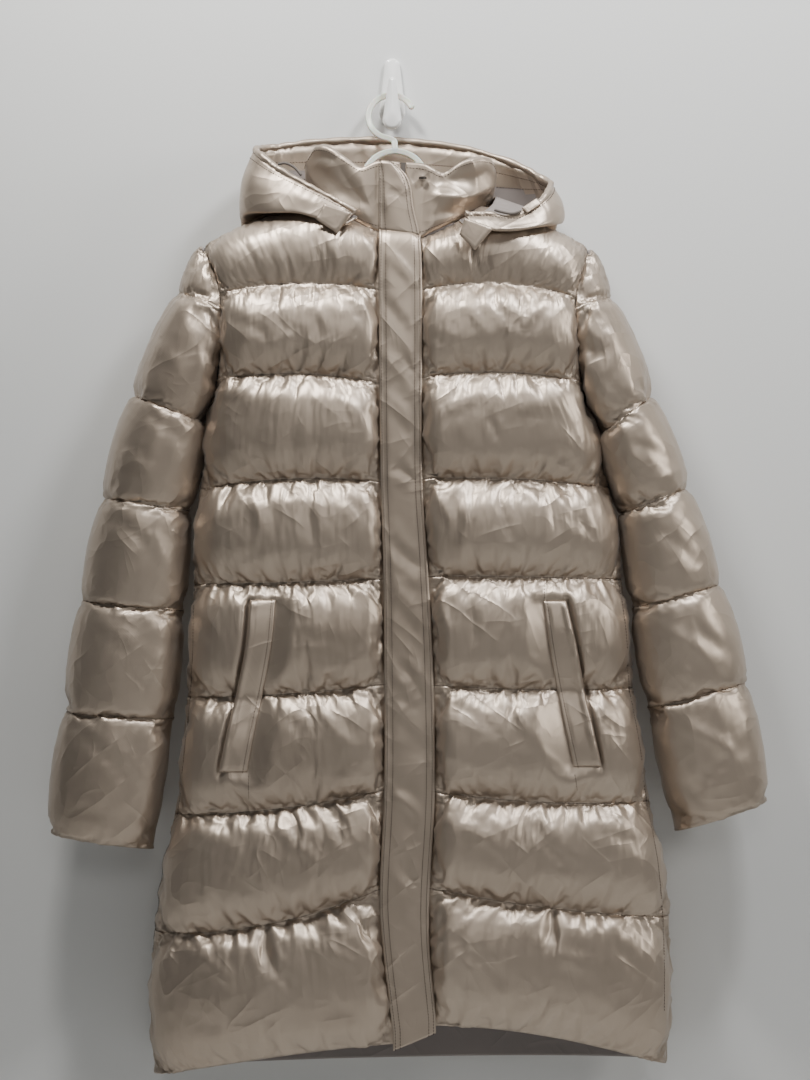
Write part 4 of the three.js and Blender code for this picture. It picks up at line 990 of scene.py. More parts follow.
def smooth_rows(values, rounds):
    for _ in range(rounds):
        padded = np.pad(values, ((1, 1), (0, 0)), mode="edge")
        values = (padded[:-2] + 2 * padded[1:-1] + padded[2:]) / 4
    return values


def spline(points, count):
    """Centripetal curve through points, with count + 1 places of even parameter."""
    points = np.asarray(points, float)
    first, last = 2 * points[0] - points[1], 2 * points[-1] - points[-2]
    run = np.concatenate([[first], points, [last]])
    out = []
    for value in np.linspace(0, len(points) - 1, count + 1):
        k = min(int(value), len(points) - 2)
        t = value - k
        p0, p1, p2, p3 = run[k : k + 4]
        d0, d1, d2 = (max(np.linalg.norm(b - a) ** 0.5, 1e-4) for a, b in ((p0, p1), (p1, p2), (p2, p3)))
        m1 = (p2 - p1) + d1 * ((p1 - p0) / d0 - (p2 - p0) / (d0 + d1))
        m2 = (p2 - p1) + d1 * ((p3 - p2) / d2 - (p3 - p1) / (d1 + d2))
        out.append(
            (2 * t**3 - 3 * t**2 + 1) * p1 + (t**3 - 2 * t**2 + t) * m1
            + (3 * t**2 - 2 * t**3) * p2 + (t**3 - t**2) * m2
        )
    return np.stack(out)


def hood_section(place, steps):
    """Section of the hood at a place along its edge: rim, outside, fold, underside, seam."""
    keyed = [{**row, "place": k} for k, row in enumerate(HOOD_SECTIONS)]

    def point(name):
        return np.array([float(read(keyed, "place", place, name + axis)) for axis in "XYZ"])

    rim, fold, seam = point("rim"), point("fold"), point("seam")
    outward = np.array([rim[0] - HOOD_MIDDLE[0], rim[1] - HOOD_MIDDLE[1], 0])
    outward /= np.linalg.norm(outward)
    depth = min(np.linalg.norm(rim - fold) / 60, 1)
    outer = (rim + fold) / 2 + outward * HOOD_SWELL * depth
    under = (fold + seam) / 2 - outward
    return spline([rim, outer, fold, under, seam], steps), outward


def ruching(along, generator, narrow, wide, short, long):
    """Uneven gathers along an edge: their height and how far each runs."""
    waves, reach = np.zeros_like(along), np.zeros_like(along)
    place = 0.0
    while place < along.max():
        hump = np.exp(-(((along - place) / generator.uniform(narrow, wide)) ** 2))
        waves += hump * generator.uniform(0.4, 1)
        reach += hump * generator.uniform(short, long)
        place += generator.uniform(1.9 * narrow, 3.1 * narrow)
    return waves, np.maximum(reach, short)


def hood_surface():
    """The hood's seam surface and normals, the rise of its outside and inside, and the way down."""
    generator = np.random.default_rng(SEED + 60)
    last = len(HOOD_SECTIONS) - 1
    sections = [hood_section(place, HOOD_STEPS) for place in np.linspace(0, last, HOOD_COLUMNS + 1)]
    points = np.stack([section for section, _ in sections], axis=1)
    normals = grid_normals(points, 1)
    step = np.linalg.norm(np.diff(points, axis=0), axis=2)
    down = np.concatenate([np.zeros((1, HOOD_COLUMNS + 1)), np.cumsum(step, axis=0)])
    width = np.linalg.norm(np.diff(points[0], axis=0), axis=1)
    along = np.concatenate([[0], np.cumsum(width)])[None]
    waves, reach = ruching(along, generator, 1.9, 3.2, 9, 20)
    outer = (waves - 0.6) * np.exp(-((down / reach) ** 1.3)) * 0.9
    waves, reach = ruching(along, generator, 2.2, 4.4, 14, 34)
    inner = (waves - 0.6) * np.exp(-((down / reach) ** 1.5)) * 2.6
    part = down / down[-1:]
    belly = np.sin(np.pi * np.clip(part * 1.15, 0, 1))
    broad = smooth_noise(points.shape[:2], (5, 20), generator) * belly * 2.0
    foot = smooth_noise(points.shape[:2], (3, 70), generator) * np.exp(-(((part - 1) / 0.2) ** 2)) * 0.9
    return points, normals, outer + broad + foot, inner - broad - foot, down


def build_hood(materials):
    """The hood's three cut panels: shell outside, lining inside, and a shell facing under the edge."""
    points, normals, outer, inner, down = hood_surface()
    step = HOOD_COLUMNS // HOOD_SEAM_PARTS
    cuts = [0, HOOD_SEAMS[0] * step, HOOD_SEAMS[1] * step, HOOD_COLUMNS]
    made = []
    for name, start, end in zip(("hood_left", "hood_centre", "hood_right"), cuts[:-1], cuts[1:]):
        span = slice(start, end + 1)
        cut, out = points[:, span].copy(), normals[:, span]
        for beside, column, sewn in ((1, 0, start > 0), (-2, -1, end < HOOD_COLUMNS)):
            if sewn:
                away = cut[:, beside] - cut[:, column]
                cut[:, column] += away / np.linalg.norm(away, axis=1, keepdims=True) * SEAM_GAP
        places = np.arange(start, end + 1)
        dip = np.zeros(len(places))
        for seam in cuts[1:-1]:
            dip = np.maximum(dip, np.exp(-(((places - seam) / 1.6) ** 2)))
        rise = outer[:, span] * (1 - dip[None] * 0.6) - dip[None] * 0.5
        fall = np.minimum(inner[:, span] * (1 - dip[None]), 3.0)
        outside = moved(cut, out, HOOD_HALF_THICKNESS + rise)
        inside = moved(cut, out, np.minimum(-HOOD_HALF_THICKNESS - fall, rise - 0.3))
        piece = wall_object(name, outside, inside, materials)
        facing = down[:-1, start:end] < FACING_WIDTH
        count = facing.size
        slots = np.zeros(len(piece.data.polygons), int)
        slots[count : 2 * count] = np.where(facing.reshape(-1), 0, 1)
        piece.data.polygons.foreach_set("material_index", slots)
        made.append((piece, outside, inside, out))
    return made


def build_casing(materials):
    """Ruched tube round the hood's edge, which the cord runs through."""
    generator = np.random.default_rng(SEED + 70)
    last = len(HOOD_SECTIONS) - 1
    path, outwards = [], []
    for place in np.linspace(0, last, CASING_STEPS + 1):
        section, outward = hood_section(place, 12)
        away = section[0] - section[1]
        path.append(section[0] + away / np.linalg.norm(away) * (CASING_RADIUS + CASING_SEAT))
        outwards.append(outward)
    path = np.stack(path)
    tangent = np.gradient(path, axis=0)
    tangent /= np.linalg.norm(tangent, axis=1, keepdims=True)
    side = np.stack(outwards)
    side -= tangent * np.einsum("kc,kc->k", side, tangent)[:, None]
    side /= np.linalg.norm(side, axis=1, keepdims=True)
    up = np.cross(tangent, side)
    angle = np.linspace(0, 2 * math.pi, CASING_SIDES, endpoint=False)
    ruche = smooth_noise((CASING_STEPS + 1, CASING_SIDES + 1), (130, 3), generator)[:, :-1]
    swell = smooth_noise((CASING_STEPS + 1, 1), (40, 1), generator)
    radius = CASING_RADIUS * (1 + 0.24 * ruche + 0.14 * swell)
    rings = (
        path[:, None]
        + side[:, None] * (radius * np.cos(angle))[..., None]
        + up[:, None] * (radius * np.sin(angle))[..., None]
    )
    return tube_object("hood_edge", rings, materials), rings


def tube_object(name, rings, materials):
    """Closed tube through rings of points, with a fan at each end."""
    count, sides = rings.shape[:2]
    vertices = np.concatenate([rings.reshape(-1, 3), rings[0].mean(0)[None], rings[-1].mean(0)[None]])
    faces = []
    for k in range(sides):
        after = (k + 1) % sides
        for r in range(count - 1):
            faces.append((r * sides + k, r * sides + after, (r + 1) * sides + after, (r + 1) * sides + k))
        faces.append((count * sides, k, after))
        end = (count - 1) * sides
        faces.append((count * sides + 1, end + k, end + after))
    return mesh_object(name, vertices, faces, materials)


def round_tube(name, points, radius, steps, sides, materials):
    path = spline(points, steps)
    tangent = np.gradient(path, axis=0)
    tangent /= np.linalg.norm(tangent, axis=1, keepdims=True)
    side = np.cross(tangent, [0, 1, 0])
    side /= np.maximum(np.linalg.norm(side, axis=1, keepdims=True), 1e-6)
    up = np.cross(tangent, side)
    angle = np.linspace(0, 2 * math.pi, sides, endpoint=False)
    radius = np.broadcast_to(np.asarray(radius, float), (steps + 1,))[:, None]
    rings = (
        path[:, None]
        + side[:, None] * (radius * np.cos(angle))[..., None]
        + up[:, None] * (radius * np.sin(angle))[..., None]
    )
    return tube_object(name, rings, materials)


def build_tab(name, corners, thickness, materials):
    """A small cloth tab: a flat pad with rounded edges and a slight dish inside its stitching."""
    corner = np.array([[c["x"], c["y"], c["z"]] for c in corners], float)
    steps = np.linspace(0, 1, 13)
    u, v = np.meshgrid(steps, steps)
    points = (
        corner[0] * ((1 - u) * (1 - v))[..., None]
        + corner[1] * (u * (1 - v))[..., None]
        + corner[2] * (u * v)[..., None]
        + corner[3] * ((1 - u) * v)[..., None]
    )
    edge = np.minimum(np.minimum(u, 1 - u), np.minimum(v, 1 - v))
    round_over = np.clip(edge / 0.1, 0, 1) ** 0.5
    dish = 0.35 * np.exp(-(((edge - 0.16) / 0.05) ** 2))
    front, back = points.copy(), points.copy()
    front[..., 1] -= thickness * (0.55 + 0.45 * round_over) - dish
    back[..., 1] -= thickness * 0.25 * (1 - round_over)
    return wall_object(name, front, back, materials), front


def new_group(name, inputs, outputs):
    """Shader node group with named sockets; each input is (name, kind, default)."""
    group = bpy.data.node_groups.new(name, "ShaderNodeTree")
    for label, kind, default in inputs:
        socket = group.interface.new_socket(label, in_out="INPUT", socket_type=kind)
        if default is not None:
            socket.default_value = default
    for label, kind in outputs:
        group.interface.new_socket(label, in_out="OUTPUT", socket_type=kind)
    return group, group.nodes.new("NodeGroupInput"), group.nodes.new("NodeGroupOutput")


def math_node(group, operation, first, second=None, third=None):
    node = group.nodes.new("ShaderNodeMath")
    node.operation = operation
    for socket, value in zip(node.inputs, (first, second, third)):
        if value is None:
            continue
        if isinstance(value, (int, float)):
            socket.default_value = value
        else:
            group.links.new(value, socket)
    return node.outputs[0]


def long_creases(group, vector, angle, scale, stretch, sharp, patch_scale):
    """Thin creases that run one way, in patches: noise pulled out along a turned axis and folded."""
    turn = group.nodes.new("ShaderNodeMapping")
    turn.vector_type = "TEXTURE"
    turn.inputs["Rotation"].default_value = angle
    turn.inputs["Scale"].default_value = (1, 1, stretch)
    group.links.new(vector, turn.inputs["Vector"])
    noise = group.nodes.new("ShaderNodeTexNoise")
    noise.inputs["Scale"].default_value = scale
    noise.inputs["Detail"].default_value = 0.6
    noise.inputs["Roughness"].default_value = 0.4
    noise.inputs["Distortion"].default_value = 0.12
    group.links.new(turn.outputs[0], noise.inputs["Vector"])
    folded = math_node(group, "ABSOLUTE", math_node(group, "SUBTRACT", noise.outputs["Fac"], 0.5))
    thin = math_node(group, "SUBTRACT", 1.0, math_node(group, "MULTIPLY", folded, 4.0))
    ridge = math_node(group, "POWER", math_node(group, "MAXIMUM", thin, 0.0), sharp)
    patches = group.nodes.new("ShaderNodeTexNoise")
    patches.inputs["Scale"].default_value = patch_scale
    patches.inputs["Detail"].default_value = 0.0
    shifted = group.nodes.new("ShaderNodeMapping")
    shifted.inputs["Location"].default_value = (scale * 0.37, angle[1], stretch * 0.21)
    group.links.new(vector, shifted.inputs["Vector"])
    group.links.new(shifted.outputs[0], patches.inputs["Vector"])
    mask = group.nodes.new("ShaderNodeMapRange")
    mask.interpolation_type = "SMOOTHSTEP"
    mask.inputs["From Min"].default_value = 0.48
    mask.inputs["From Max"].default_value = 0.64
    group.links.new(patches.outputs["Fac"], mask.inputs["Value"])
    return math_node(group, "MULTIPLY", ridge, mask.outputs[0])


CREASE_LAYERS = [
    {"angle": (0.0, 0.95, 0.1), "scale": 30.0, "stretch": 7.0, "sharp": 4.0, "patch": 15.0, "weight": 0.9},
    {"angle": (0.1, -0.8, 0.0), "scale": 34.0, "stretch": 8.0, "sharp": 4.0, "patch": 17.0, "weight": 0.8},
    {"angle": (0.0, 1.35, 0.2), "scale": 44.0, "stretch": 9.0, "sharp": 3.0, "patch": 20.0, "weight": 0.5},
    {"angle": (0.2, -0.3, 0.1), "scale": 60.0, "stretch": 6.0, "sharp": 3.0, "patch": 22.0, "weight": 0.35},
    {"angle": (0.1, 0.45, 0.3), "scale": 90.0, "stretch": 5.0, "sharp": 2.0, "patch": 26.0, "weight": 0.16},
]


def crumple_group():
    """Long creases that cross at several angles over a soft uneven ground."""
    inputs = [
        ("Vector", "NodeSocketVector", None),
        ("Strength", "NodeSocketFloat", 0.6),
        ("Depth", "NodeSocketFloat", 0.002),
        ("Softness", "NodeSocketFloat", 0.5),
    ]
    outputs = [("Normal", "NodeSocketVector"), ("Height", "NodeSocketFloat")]
    group, start, end = new_group("Crumple", inputs, outputs)
    vector = start.outputs["Vector"]
    total = None
    for row in CREASE_LAYERS:
        ridge = long_creases(
            group, vector, row["angle"], row["scale"], row["stretch"], row["sharp"], row["patch"]
        )
        part = math_node(group, "MULTIPLY", ridge, row["weight"])
        total = part if total is None else math_node(group, "ADD", total, part)
    ground = group.nodes.new("ShaderNodeTexNoise")
    ground.inputs["Scale"].default_value = 34.0
    ground.inputs["Detail"].default_value = 2.0
    ground.inputs["Distortion"].default_value = 0.6
    group.links.new(vector, ground.inputs["Vector"])
    soft = math_node(group, "MULTIPLY", ground.outputs["Fac"], start.outputs["Softness"])
    height = math_node(group, "ADD", total, soft)
    bump = group.nodes.new("ShaderNodeBump")
    group.links.new(height, bump.inputs["Height"])
    group.links.new(start.outputs["Strength"], bump.inputs["Strength"])
    group.links.new(start.outputs["Depth"], bump.inputs["Distance"])
    group.links.new(bump.outputs["Normal"], end.inputs["Normal"])
    group.links.new(height, end.inputs["Height"])
    return group


def weave_group():
    """Fine plain weave as a faint bump over another normal."""
    inputs = [
        ("Vector", "NodeSocketVector", None),
        ("Normal", "NodeSocketVector", None),
        ("Threads", "NodeSocketFloat", 2200.0),
        ("Strength", "NodeSocketFloat", 0.12),
    ]
    outputs = [("Normal", "NodeSocketVector"), ("Fibre", "NodeSocketFloat")]
    group, start, end = new_group("Weave", inputs, outputs)
    split = group.nodes.new("ShaderNodeSeparateXYZ")
    group.links.new(start.outputs["Vector"], split.inputs[0])
    across = math_node(group, "SINE", math_node(group, "MULTIPLY", split.outputs["X"], start.outputs["Threads"]))
    down = math_node(group, "SINE", math_node(group, "MULTIPLY", split.outputs["Z"], start.outputs["Threads"]))
    fibre = math_node(group, "MULTIPLY", across, down)
    bump = group.nodes.new("ShaderNodeBump")
    bump.inputs["Distance"].default_value = 0.0001
    group.links.new(fibre, bump.inputs["Height"])
    group.links.new(start.outputs["Strength"], bump.inputs["Strength"])
    group.links.new(start.outputs["Normal"], bump.inputs["Normal"])
    group.links.new(bump.outputs["Normal"], end.inputs["Normal"])
    group.links.new(fibre, end.inputs["Fibre"])
    return group


def colour_group():
    """Soft variation between a light and a dark tone of one colour."""
    inputs = [
        ("Vector", "NodeSocketVector", None),
        ("Light", "NodeSocketColor", (0.5, 0.5, 0.5, 1)),
        ("Dark", "NodeSocketColor", (0.4, 0.4, 0.4, 1)),
        ("Scale", "NodeSocketFloat", 6.0),
    ]
    group, start, end = new_group("Tone", inputs, [("Color", "NodeSocketColor")])
    noise = group.nodes.new("ShaderNodeTexNoise")
    noise.inputs["Detail"].default_value = 3.0
    group.links.new(start.outputs["Vector"], noise.inputs["Vector"])
    group.links.new(start.outputs["Scale"], noise.inputs["Scale"])
    mix = group.nodes.new("ShaderNodeMix")
    mix.data_type = "RGBA"
    group.links.new(noise.outputs["Fac"], mix.inputs[0])
    group.links.new(start.outputs["Dark"], mix.inputs[6])
    group.links.new(start.outputs["Light"], mix.inputs[7])
    group.links.new(mix.outputs[2], end.inputs["Color"])
    return group


def shared_group(name, maker):
    return bpy.data.node_groups.get(name) or maker()


def cloth_material(name, light, dark, settings, crumple=0.6, depth=0.002, weave=0.12):
    """Cloth with tone, creases and weave; settings are constants on the shader's own sockets."""
    found = bpy.data.materials.get(name)
    if found:
        return found
    finish = bpy.data.materials.new(name)
    finish.use_nodes = True
    tree = finish.node_tree
    shader = tree.nodes["Principled BSDF"]
    for socket, value in settings.items():
        shader.inputs[socket].default_value = value
    place = tree.nodes.new("ShaderNodeTexCoord")
    tone = tree.nodes.new("ShaderNodeGroup")
    tone.node_tree = shared_group("Tone", colour_group)
    tone.inputs["Light"].default_value = light
    tone.inputs["Dark"].default_value = dark
    creased = tree.nodes.new("ShaderNodeGroup")
    creased.node_tree = shared_group("Crumple", crumple_group)
    creased.inputs["Strength"].default_value = crumple
    creased.inputs["Depth"].default_value = depth
    woven = tree.nodes.new("ShaderNodeGroup")
    woven.node_tree = shared_group("Weave", weave_group)
    woven.inputs["Strength"].default_value = weave
    for node in (tone, creased, woven):
        tree.links.new(place.outputs["Object"], node.inputs["Vector"])
    tree.links.new(creased.outputs["Normal"], woven.inputs["Normal"])
    tree.links.new(woven.outputs["Normal"], shader.inputs["Normal"])
    tree.links.new(tone.outputs["Color"], shader.inputs["Base Color"])
    return finish


def plain_material(name, color, settings):
    found = bpy.data.materials.get(name)
    if found:
        return found
    finish = bpy.data.materials.new(name)
    finish.use_nodes = True
    shader = finish.node_tree.nodes["Principled BSDF"]
    shader.inputs["Base Color"].default_value = color
    for socket, value in settings.items():
        shader.inputs[socket].default_value = value
    return finish


def stitch_tree():
    """Geometry Nodes: even stitches along every edge chain of a mesh."""
    tree = bpy.data.node_groups.get("Stitch run")
    if tree:
        return tree
    tree = bpy.data.node_groups.new("Stitch run", "GeometryNodeTree")
    face = tree.interface
    face.new_socket("Geometry", in_out="INPUT", socket_type="NodeSocketGeometry")
    for label, value in (("Pitch", 0.0034), ("Length", 0.0012), ("Thickness", 0.0004)):
        face.new_socket(label, in_out="INPUT", socket_type="NodeSocketFloat").default_value = value
    face.new_socket("Seed", in_out="INPUT", socket_type="NodeSocketInt").default_value = 3
    face.new_socket("Material", in_out="INPUT", socket_type="NodeSocketMaterial")
    face.new_socket("Geometry", in_out="OUTPUT", socket_type="NodeSocketGeometry")
    nodes, link = tree.nodes, tree.links.new
    start, end = nodes.new("NodeGroupInput"), nodes.new("NodeGroupOutput")
    curve = nodes.new("GeometryNodeMeshToCurve")
    even = nodes.new("GeometryNodeResampleCurve")
    even.mode = "LENGTH"
    bead = nodes.new("GeometryNodeMeshIcoSphere")
    bead.inputs["Radius"].default_value = 1.0
    shape = nodes.new("GeometryNodeTransform")
    size = nodes.new("ShaderNodeCombineXYZ")
    tangent = nodes.new("GeometryNodeInputTangent")
    turn = nodes.new("FunctionNodeAlignRotationToVector")
    turn.axis = "Z"
    place = nodes.new("GeometryNodeInstanceOnPoints")
    vary = nodes.new("FunctionNodeRandomValue")
    vary.data_type = "FLOAT_VECTOR"
    vary.inputs[0].default_value = (0.9, 0.9, 0.85)
    vary.inputs[1].default_value = (1.1, 1.1, 1.1)
    real = nodes.new("GeometryNodeRealizeInstances")
    paint = nodes.new("GeometryNodeSetMaterial")
    link(start.outputs["Geometry"], curve.inputs["Mesh"])
    link(curve.outputs["Curve"], even.inputs["Curve"])
    link(start.outputs["Pitch"], even.inputs["Length"])
    link(start.outputs["Thickness"], size.inputs["X"])
    link(start.outputs["Thickness"], size.inputs["Y"])
    link(start.outputs["Length"], size.inputs["Z"])
    link(bead.outputs["Mesh"], shape.inputs["Geometry"])
    link(size.outputs["Vector"], shape.inputs["Scale"])
    link(even.outputs["Curve"], place.inputs["Points"])
    link(shape.outputs["Geometry"], place.inputs["Instance"])
    link(tangent.outputs["Tangent"], turn.inputs["Vector"])
    link(turn.outputs["Rotation"], place.inputs["Rotation"])
    link(start.outputs["Seed"], vary.inputs["Seed"])
    link(vary.outputs[0], place.inputs["Scale"])
    link(place.outputs["Instances"], real.inputs["Geometry"])
    link(real.outputs["Geometry"], paint.inputs["Geometry"])
    link(start.outputs["Material"], paint.inputs["Material"])
    link(paint.outputs["Geometry"], end.inputs["Geometry"])
    return tree


def stitched(name, lines, finish, pitch, length, thickness):
    """One piece of thread: stitches along lines of points, made by the node tree and then kept as a mesh."""
    vertices, edges = [], []
    for line in lines:
        first = len(vertices)
        vertices.extend((np.asarray(line) * METRE).tolist())
        edges.extend((first + k, first + k + 1) for k in range(len(line) - 1))
    mesh = bpy.data.meshes.new(name)
    mesh.from_pydata(vertices, edges, [])
    piece = bpy.data.objects.new(name, mesh)
    bpy.context.collection.objects.link(piece)
    run = piece.modifiers.new("Stitches", "NODES")
    run.node_group = stitch_tree()
    items = run.node_group.interface.items_tree
    sockets = {item.name: item.identifier for item in items if item.in_out == "INPUT"}
    values = {"Pitch": pitch, "Length": length, "Thickness": thickness, "Seed": SEED, "Material": finish}
    for label, value in values.items():
        run[sockets[label]] = value
    bpy.context.view_layer.update()
    evaluated = piece.evaluated_get(bpy.context.evaluated_depsgraph_get())
    made = bpy.data.meshes.new_from_object(evaluated)
    piece.modifiers.clear()
    piece.data = made
    made.name = name
    if not made.materials:
        made.materials.append(finish)
    return piece


def finish_piece(piece, nodes):
    """What every finished piece tells the frame."""
    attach(piece, "root")
    if nodes:
        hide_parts(*nodes)


SURFACES = {}


def shell_materials():
    settings = bpy.context.scene.coat_cloth
    shell = cloth_material(
        "Shell nylon",
        (*settings.light, 1),
        (*settings.dark, 1),
        {
            "Metallic": settings.lustre,
            "Roughness": settings.roughness,
            "Specular IOR Level": 0.6,
            "Sheen Weight": 0.08,
            "Coat Weight": 0.12,
            "Coat Roughness": 0.3,
        },
        crumple=settings.crumple,
    )
    lining = cloth_material(
        "Lining",
        (0.235, 0.2, 0.185, 1),
        (0.19, 0.165, 0.155, 1),
        {"Roughness": 0.7, "Sheen Weight": 0.3, "Metallic": 0.0},
        crumple=0.35,
        weave=0.25,
    )
    return [shell, lining]


def trim_material(name):
    table = {
        "Thread": ((0.05, 0.037, 0.03, 1), {"Roughness": 0.75}),
        "Cord": ((0.1, 0.085, 0.075, 1), {"Roughness": 0.65}),
        "Zip tape": ((0.075, 0.062, 0.052, 1), {"Roughness": 0.55}),
        "Snap": ((0.05, 0.042, 0.036, 1), {"Roughness": 0.38, "Metallic": 0.6}),
        "Hanger": (
            (0.78, 0.76, 0.68, 1),
            {"Roughness": 0.28, "Transmission Weight": 0.25, "Subsurface Weight": 0.3, "IOR": 1.5},
        ),
        "Hook": ((0.86, 0.86, 0.85, 1), {"Roughness": 0.12, "Coat Weight": 0.6, "Coat Roughness": 0.05}),
    }
    color, settings = table[name]
    return plain_material(name, color, settings)


def slab(name, outline, layers, materials):
    """Closed slab from an outline in X and Z; each layer is a depth in Y and an inset of the outline."""
    outline = np.asarray(outline, float)
    along = np.roll(outline, -1, 0) - np.roll(outline, 1, 0)
    inward = np.stack([-along[:, 1], along[:, 0]], -1)
    inward /= np.linalg.norm(inward, axis=1, keepdims=True)
    rings = []
    for depth, inset in layers:
        flat = outline + inward * inset
        rings.append(np.stack([flat[:, 0], np.full(len(flat), -depth), flat[:, 1]], -1))
    return tube_object(name, np.stack(rings), materials)


def drop_outline(low, high, low_radius, high_radius, steps):
    """Outline of a drop: a round end below and a smaller one above, anticlockwise from the right."""
    lean = math.asin((low_radius - high_radius) / (high - high_radius - low - low_radius))
    points = []
    for angle in np.linspace(lean, math.pi - lean, steps):
        points.append((high_radius * math.cos(angle), high - high_radius + high_radius * math.sin(angle)))
    for angle in np.linspace(math.pi - lean, 2 * math.pi + lean, steps * 2):
        points.append((low_radius * math.cos(angle), low + low_radius + low_radius * math.sin(angle)))
    return points


def joined_piece(name, pieces):
    """Several meshes as one piece."""
    whole = bmesh.new()
    for piece in pieces:
        whole.from_mesh(piece.data)
    mesh = bpy.data.meshes.new(name)
    whole.to_mesh(mesh)
    whole.free()
    for finish in pieces[0].data.materials:
        mesh.materials.append(finish)
    for piece in pieces:
        bpy.data.objects.remove(piece)
    result = bpy.data.objects.new(name, mesh)
    bpy.context.collection.objects.link(result)
    return result


def build_hook(materials):
    plate = slab(
        "plate",
        drop_outline(HOOK["plate_low"], HOOK["plate_high"], 15.0, 9.0, 20),
        [(0.3, 0.6), (0.8, 0), (4.0, 0), (5.2, 0.8), (6.0, 2.4)],
        materials,
    )
    tongue = slab(
        "tongue",
        drop_outline(HOOK["tongue_low"], HOOK["tongue_high"], 11.0, 4.2, 24),
        [(23.0, 2.5), (23.6, 1.0), (25.0, 0), (28.5, 0.2), (30.8, 1.2), (32.2, 2.6), (32.9, 3.8)],
        materials,
    )
    foot = slab(
        "foot",
        drop_outline(HOOK["foot_low"], HOOK["foot_high"], 7.0, 6.9, 12),
        [(4.0, 0), (12.0, 0.8), (18.0, 0.6), (26.0, 0)],
        materials,
    )
    return joined_piece("wall_hook", [plate, tongue, foot])


def leaning(x, z):
    """The hanger leans forward from the hook, so Y follows height."""
    ring_top = HANGER["ring_z"] + HANGER["ring_radius"]
    return (x, HANGER["top_y"] + (z - ring_top) * HANGER["lean"], z)


def moulded_bar(name, points, steps, materials, grooved=True):
    """Moulded bar: a round section with a shallow channel along its front between two rims."""
    path = spline(points, steps)
    tangent = np.gradient(path, axis=0)
    tangent /= np.linalg.norm(tangent, axis=1, keepdims=True)
    side = np.cross(tangent, [0, 1, 0])
    side /= np.linalg.norm(side, axis=1, keepdims=True)
    up = np.cross(side, tangent)
    up *= np.where(up[:, 1:2] > 0, -1, 1)
    angle = np.linspace(0, 2 * math.pi, 24, endpoint=False)
    channel = np.exp(-((np.angle(np.exp(1j * (angle - math.pi / 2))) / 0.62) ** 4)) * (0.3 if grooved else 0)
    from_end = np.minimum(np.arange(steps + 1), np.arange(steps + 1)[::-1])
    radius = HANGER["rod"] * (1 - channel) * np.clip(from_end / 3 + 0.5, 0.5, 1)[:, None]
    rings = (
        path[:, None]
        + side[:, None] * (radius * np.cos(angle))[..., None]
        + up[:, None] * (radius * np.sin(angle))[..., None]
    )
    return tube_object(name, rings, materials)


def build_hanger(materials):
    ring = []
    for degrees in range(22, 263, 12):
        angle = math.radians(degrees)
        ring.append(
            leaning(
                HANGER["ring_x"] + HANGER["ring_radius"] * math.cos(angle),
                HANGER["ring_z"] + HANGER["ring_radius"] * math.sin(angle),
            )
        )
    below = HANGER["ring_z"] - HANGER["ring_radius"]
    ring += [leaning(2, below - 3), leaning(3, below - 9), leaning(3, HANGER["arch_top"] - 1)]
    arms = [leaning(x, z) for x, z in HANGER["arms"]]
    pieces = [moulded_bar("ring", ring, 120, materials), moulded_bar("arms", arms, 160, materials)]
    return joined_piece("hanger", pieces)


def aim(light, target):
    away = Vector(target) - light.location
    light.rotation_euler = away.to_track_quat("-Z", "Y").to_euler()


def area_light(name, place, target, size, energy, color=(1, 1, 1)):
    data = bpy.data.lights.new(name, "AREA")
    data.shape = "RECTANGLE"
    data.size, data.size_y = size
    data.energy = energy
    data.color = color
    light = bpy.data.objects.new(name, data)
    light.location = place
    bpy.context.collection.objects.link(light)
    aim(light, target)
    return light


def wall_material():
    """Pale paint, seen from the front only, so that views from behind show the coat."""
    finish = bpy.data.materials.new("Pale wall")
    finish.use_nodes = True
    tree = finish.node_tree
    paint = tree.nodes["Principled BSDF"]
    paint.inputs["Base Color"].default_value = (0.67, 0.675, 0.67, 1)
    paint.inputs["Roughness"].default_value = 0.7
    facing = tree.nodes.new("ShaderNodeNewGeometry")
    clear = tree.nodes.new("ShaderNodeBsdfTransparent")
    mix = tree.nodes.new("ShaderNodeMixShader")
    tree.links.new(facing.outputs["Backfacing"], mix.inputs[0])
    tree.links.new(paint.outputs[0], mix.inputs[1])
    tree.links.new(clear.outputs[0], mix.inputs[2])
    tree.links.new(mix.outputs[0], tree.nodes["Material Output"].inputs["Surface"])
    return finish


def plane(name, corners, finish):
    mesh = bpy.data.meshes.new(name)
    mesh.from_pydata(corners, [], [(0, 1, 2, 3)])
    mesh.materials.append(finish)
    piece = bpy.data.objects.new(name, mesh)
    bpy.context.collection.objects.link(piece)
    return piece


class CoatCloth(bpy.types.PropertyGroup):
    """Finish of the cloth."""

    light: bpy.props.FloatVectorProperty(
        name="Light tone", description="Lighter tone of the shell",
        subtype="COLOR", default=(0.51, 0.425, 0.345)
    )
    dark: bpy.props.FloatVectorProperty(
        name="Dark tone", description="Darker tone of the shell", subtype="COLOR", default=(0.36, 0.29, 0.23)
    )
    lustre: bpy.props.FloatProperty(
        name="Lustre", description="How metallic the shell shines",
        default=0.78, min=0, max=1, subtype="FACTOR"
    )
    roughness: bpy.props.FloatProperty(
        name="Roughness", description="How soft the shell's shine is",
        default=0.41, min=0, max=1, subtype="FACTOR"
    )
    crumple: bpy.props.FloatProperty(
        name="Crumple", description="Strength of the fine creases",
        default=0.34, min=0, max=1, subtype="FACTOR"
    )


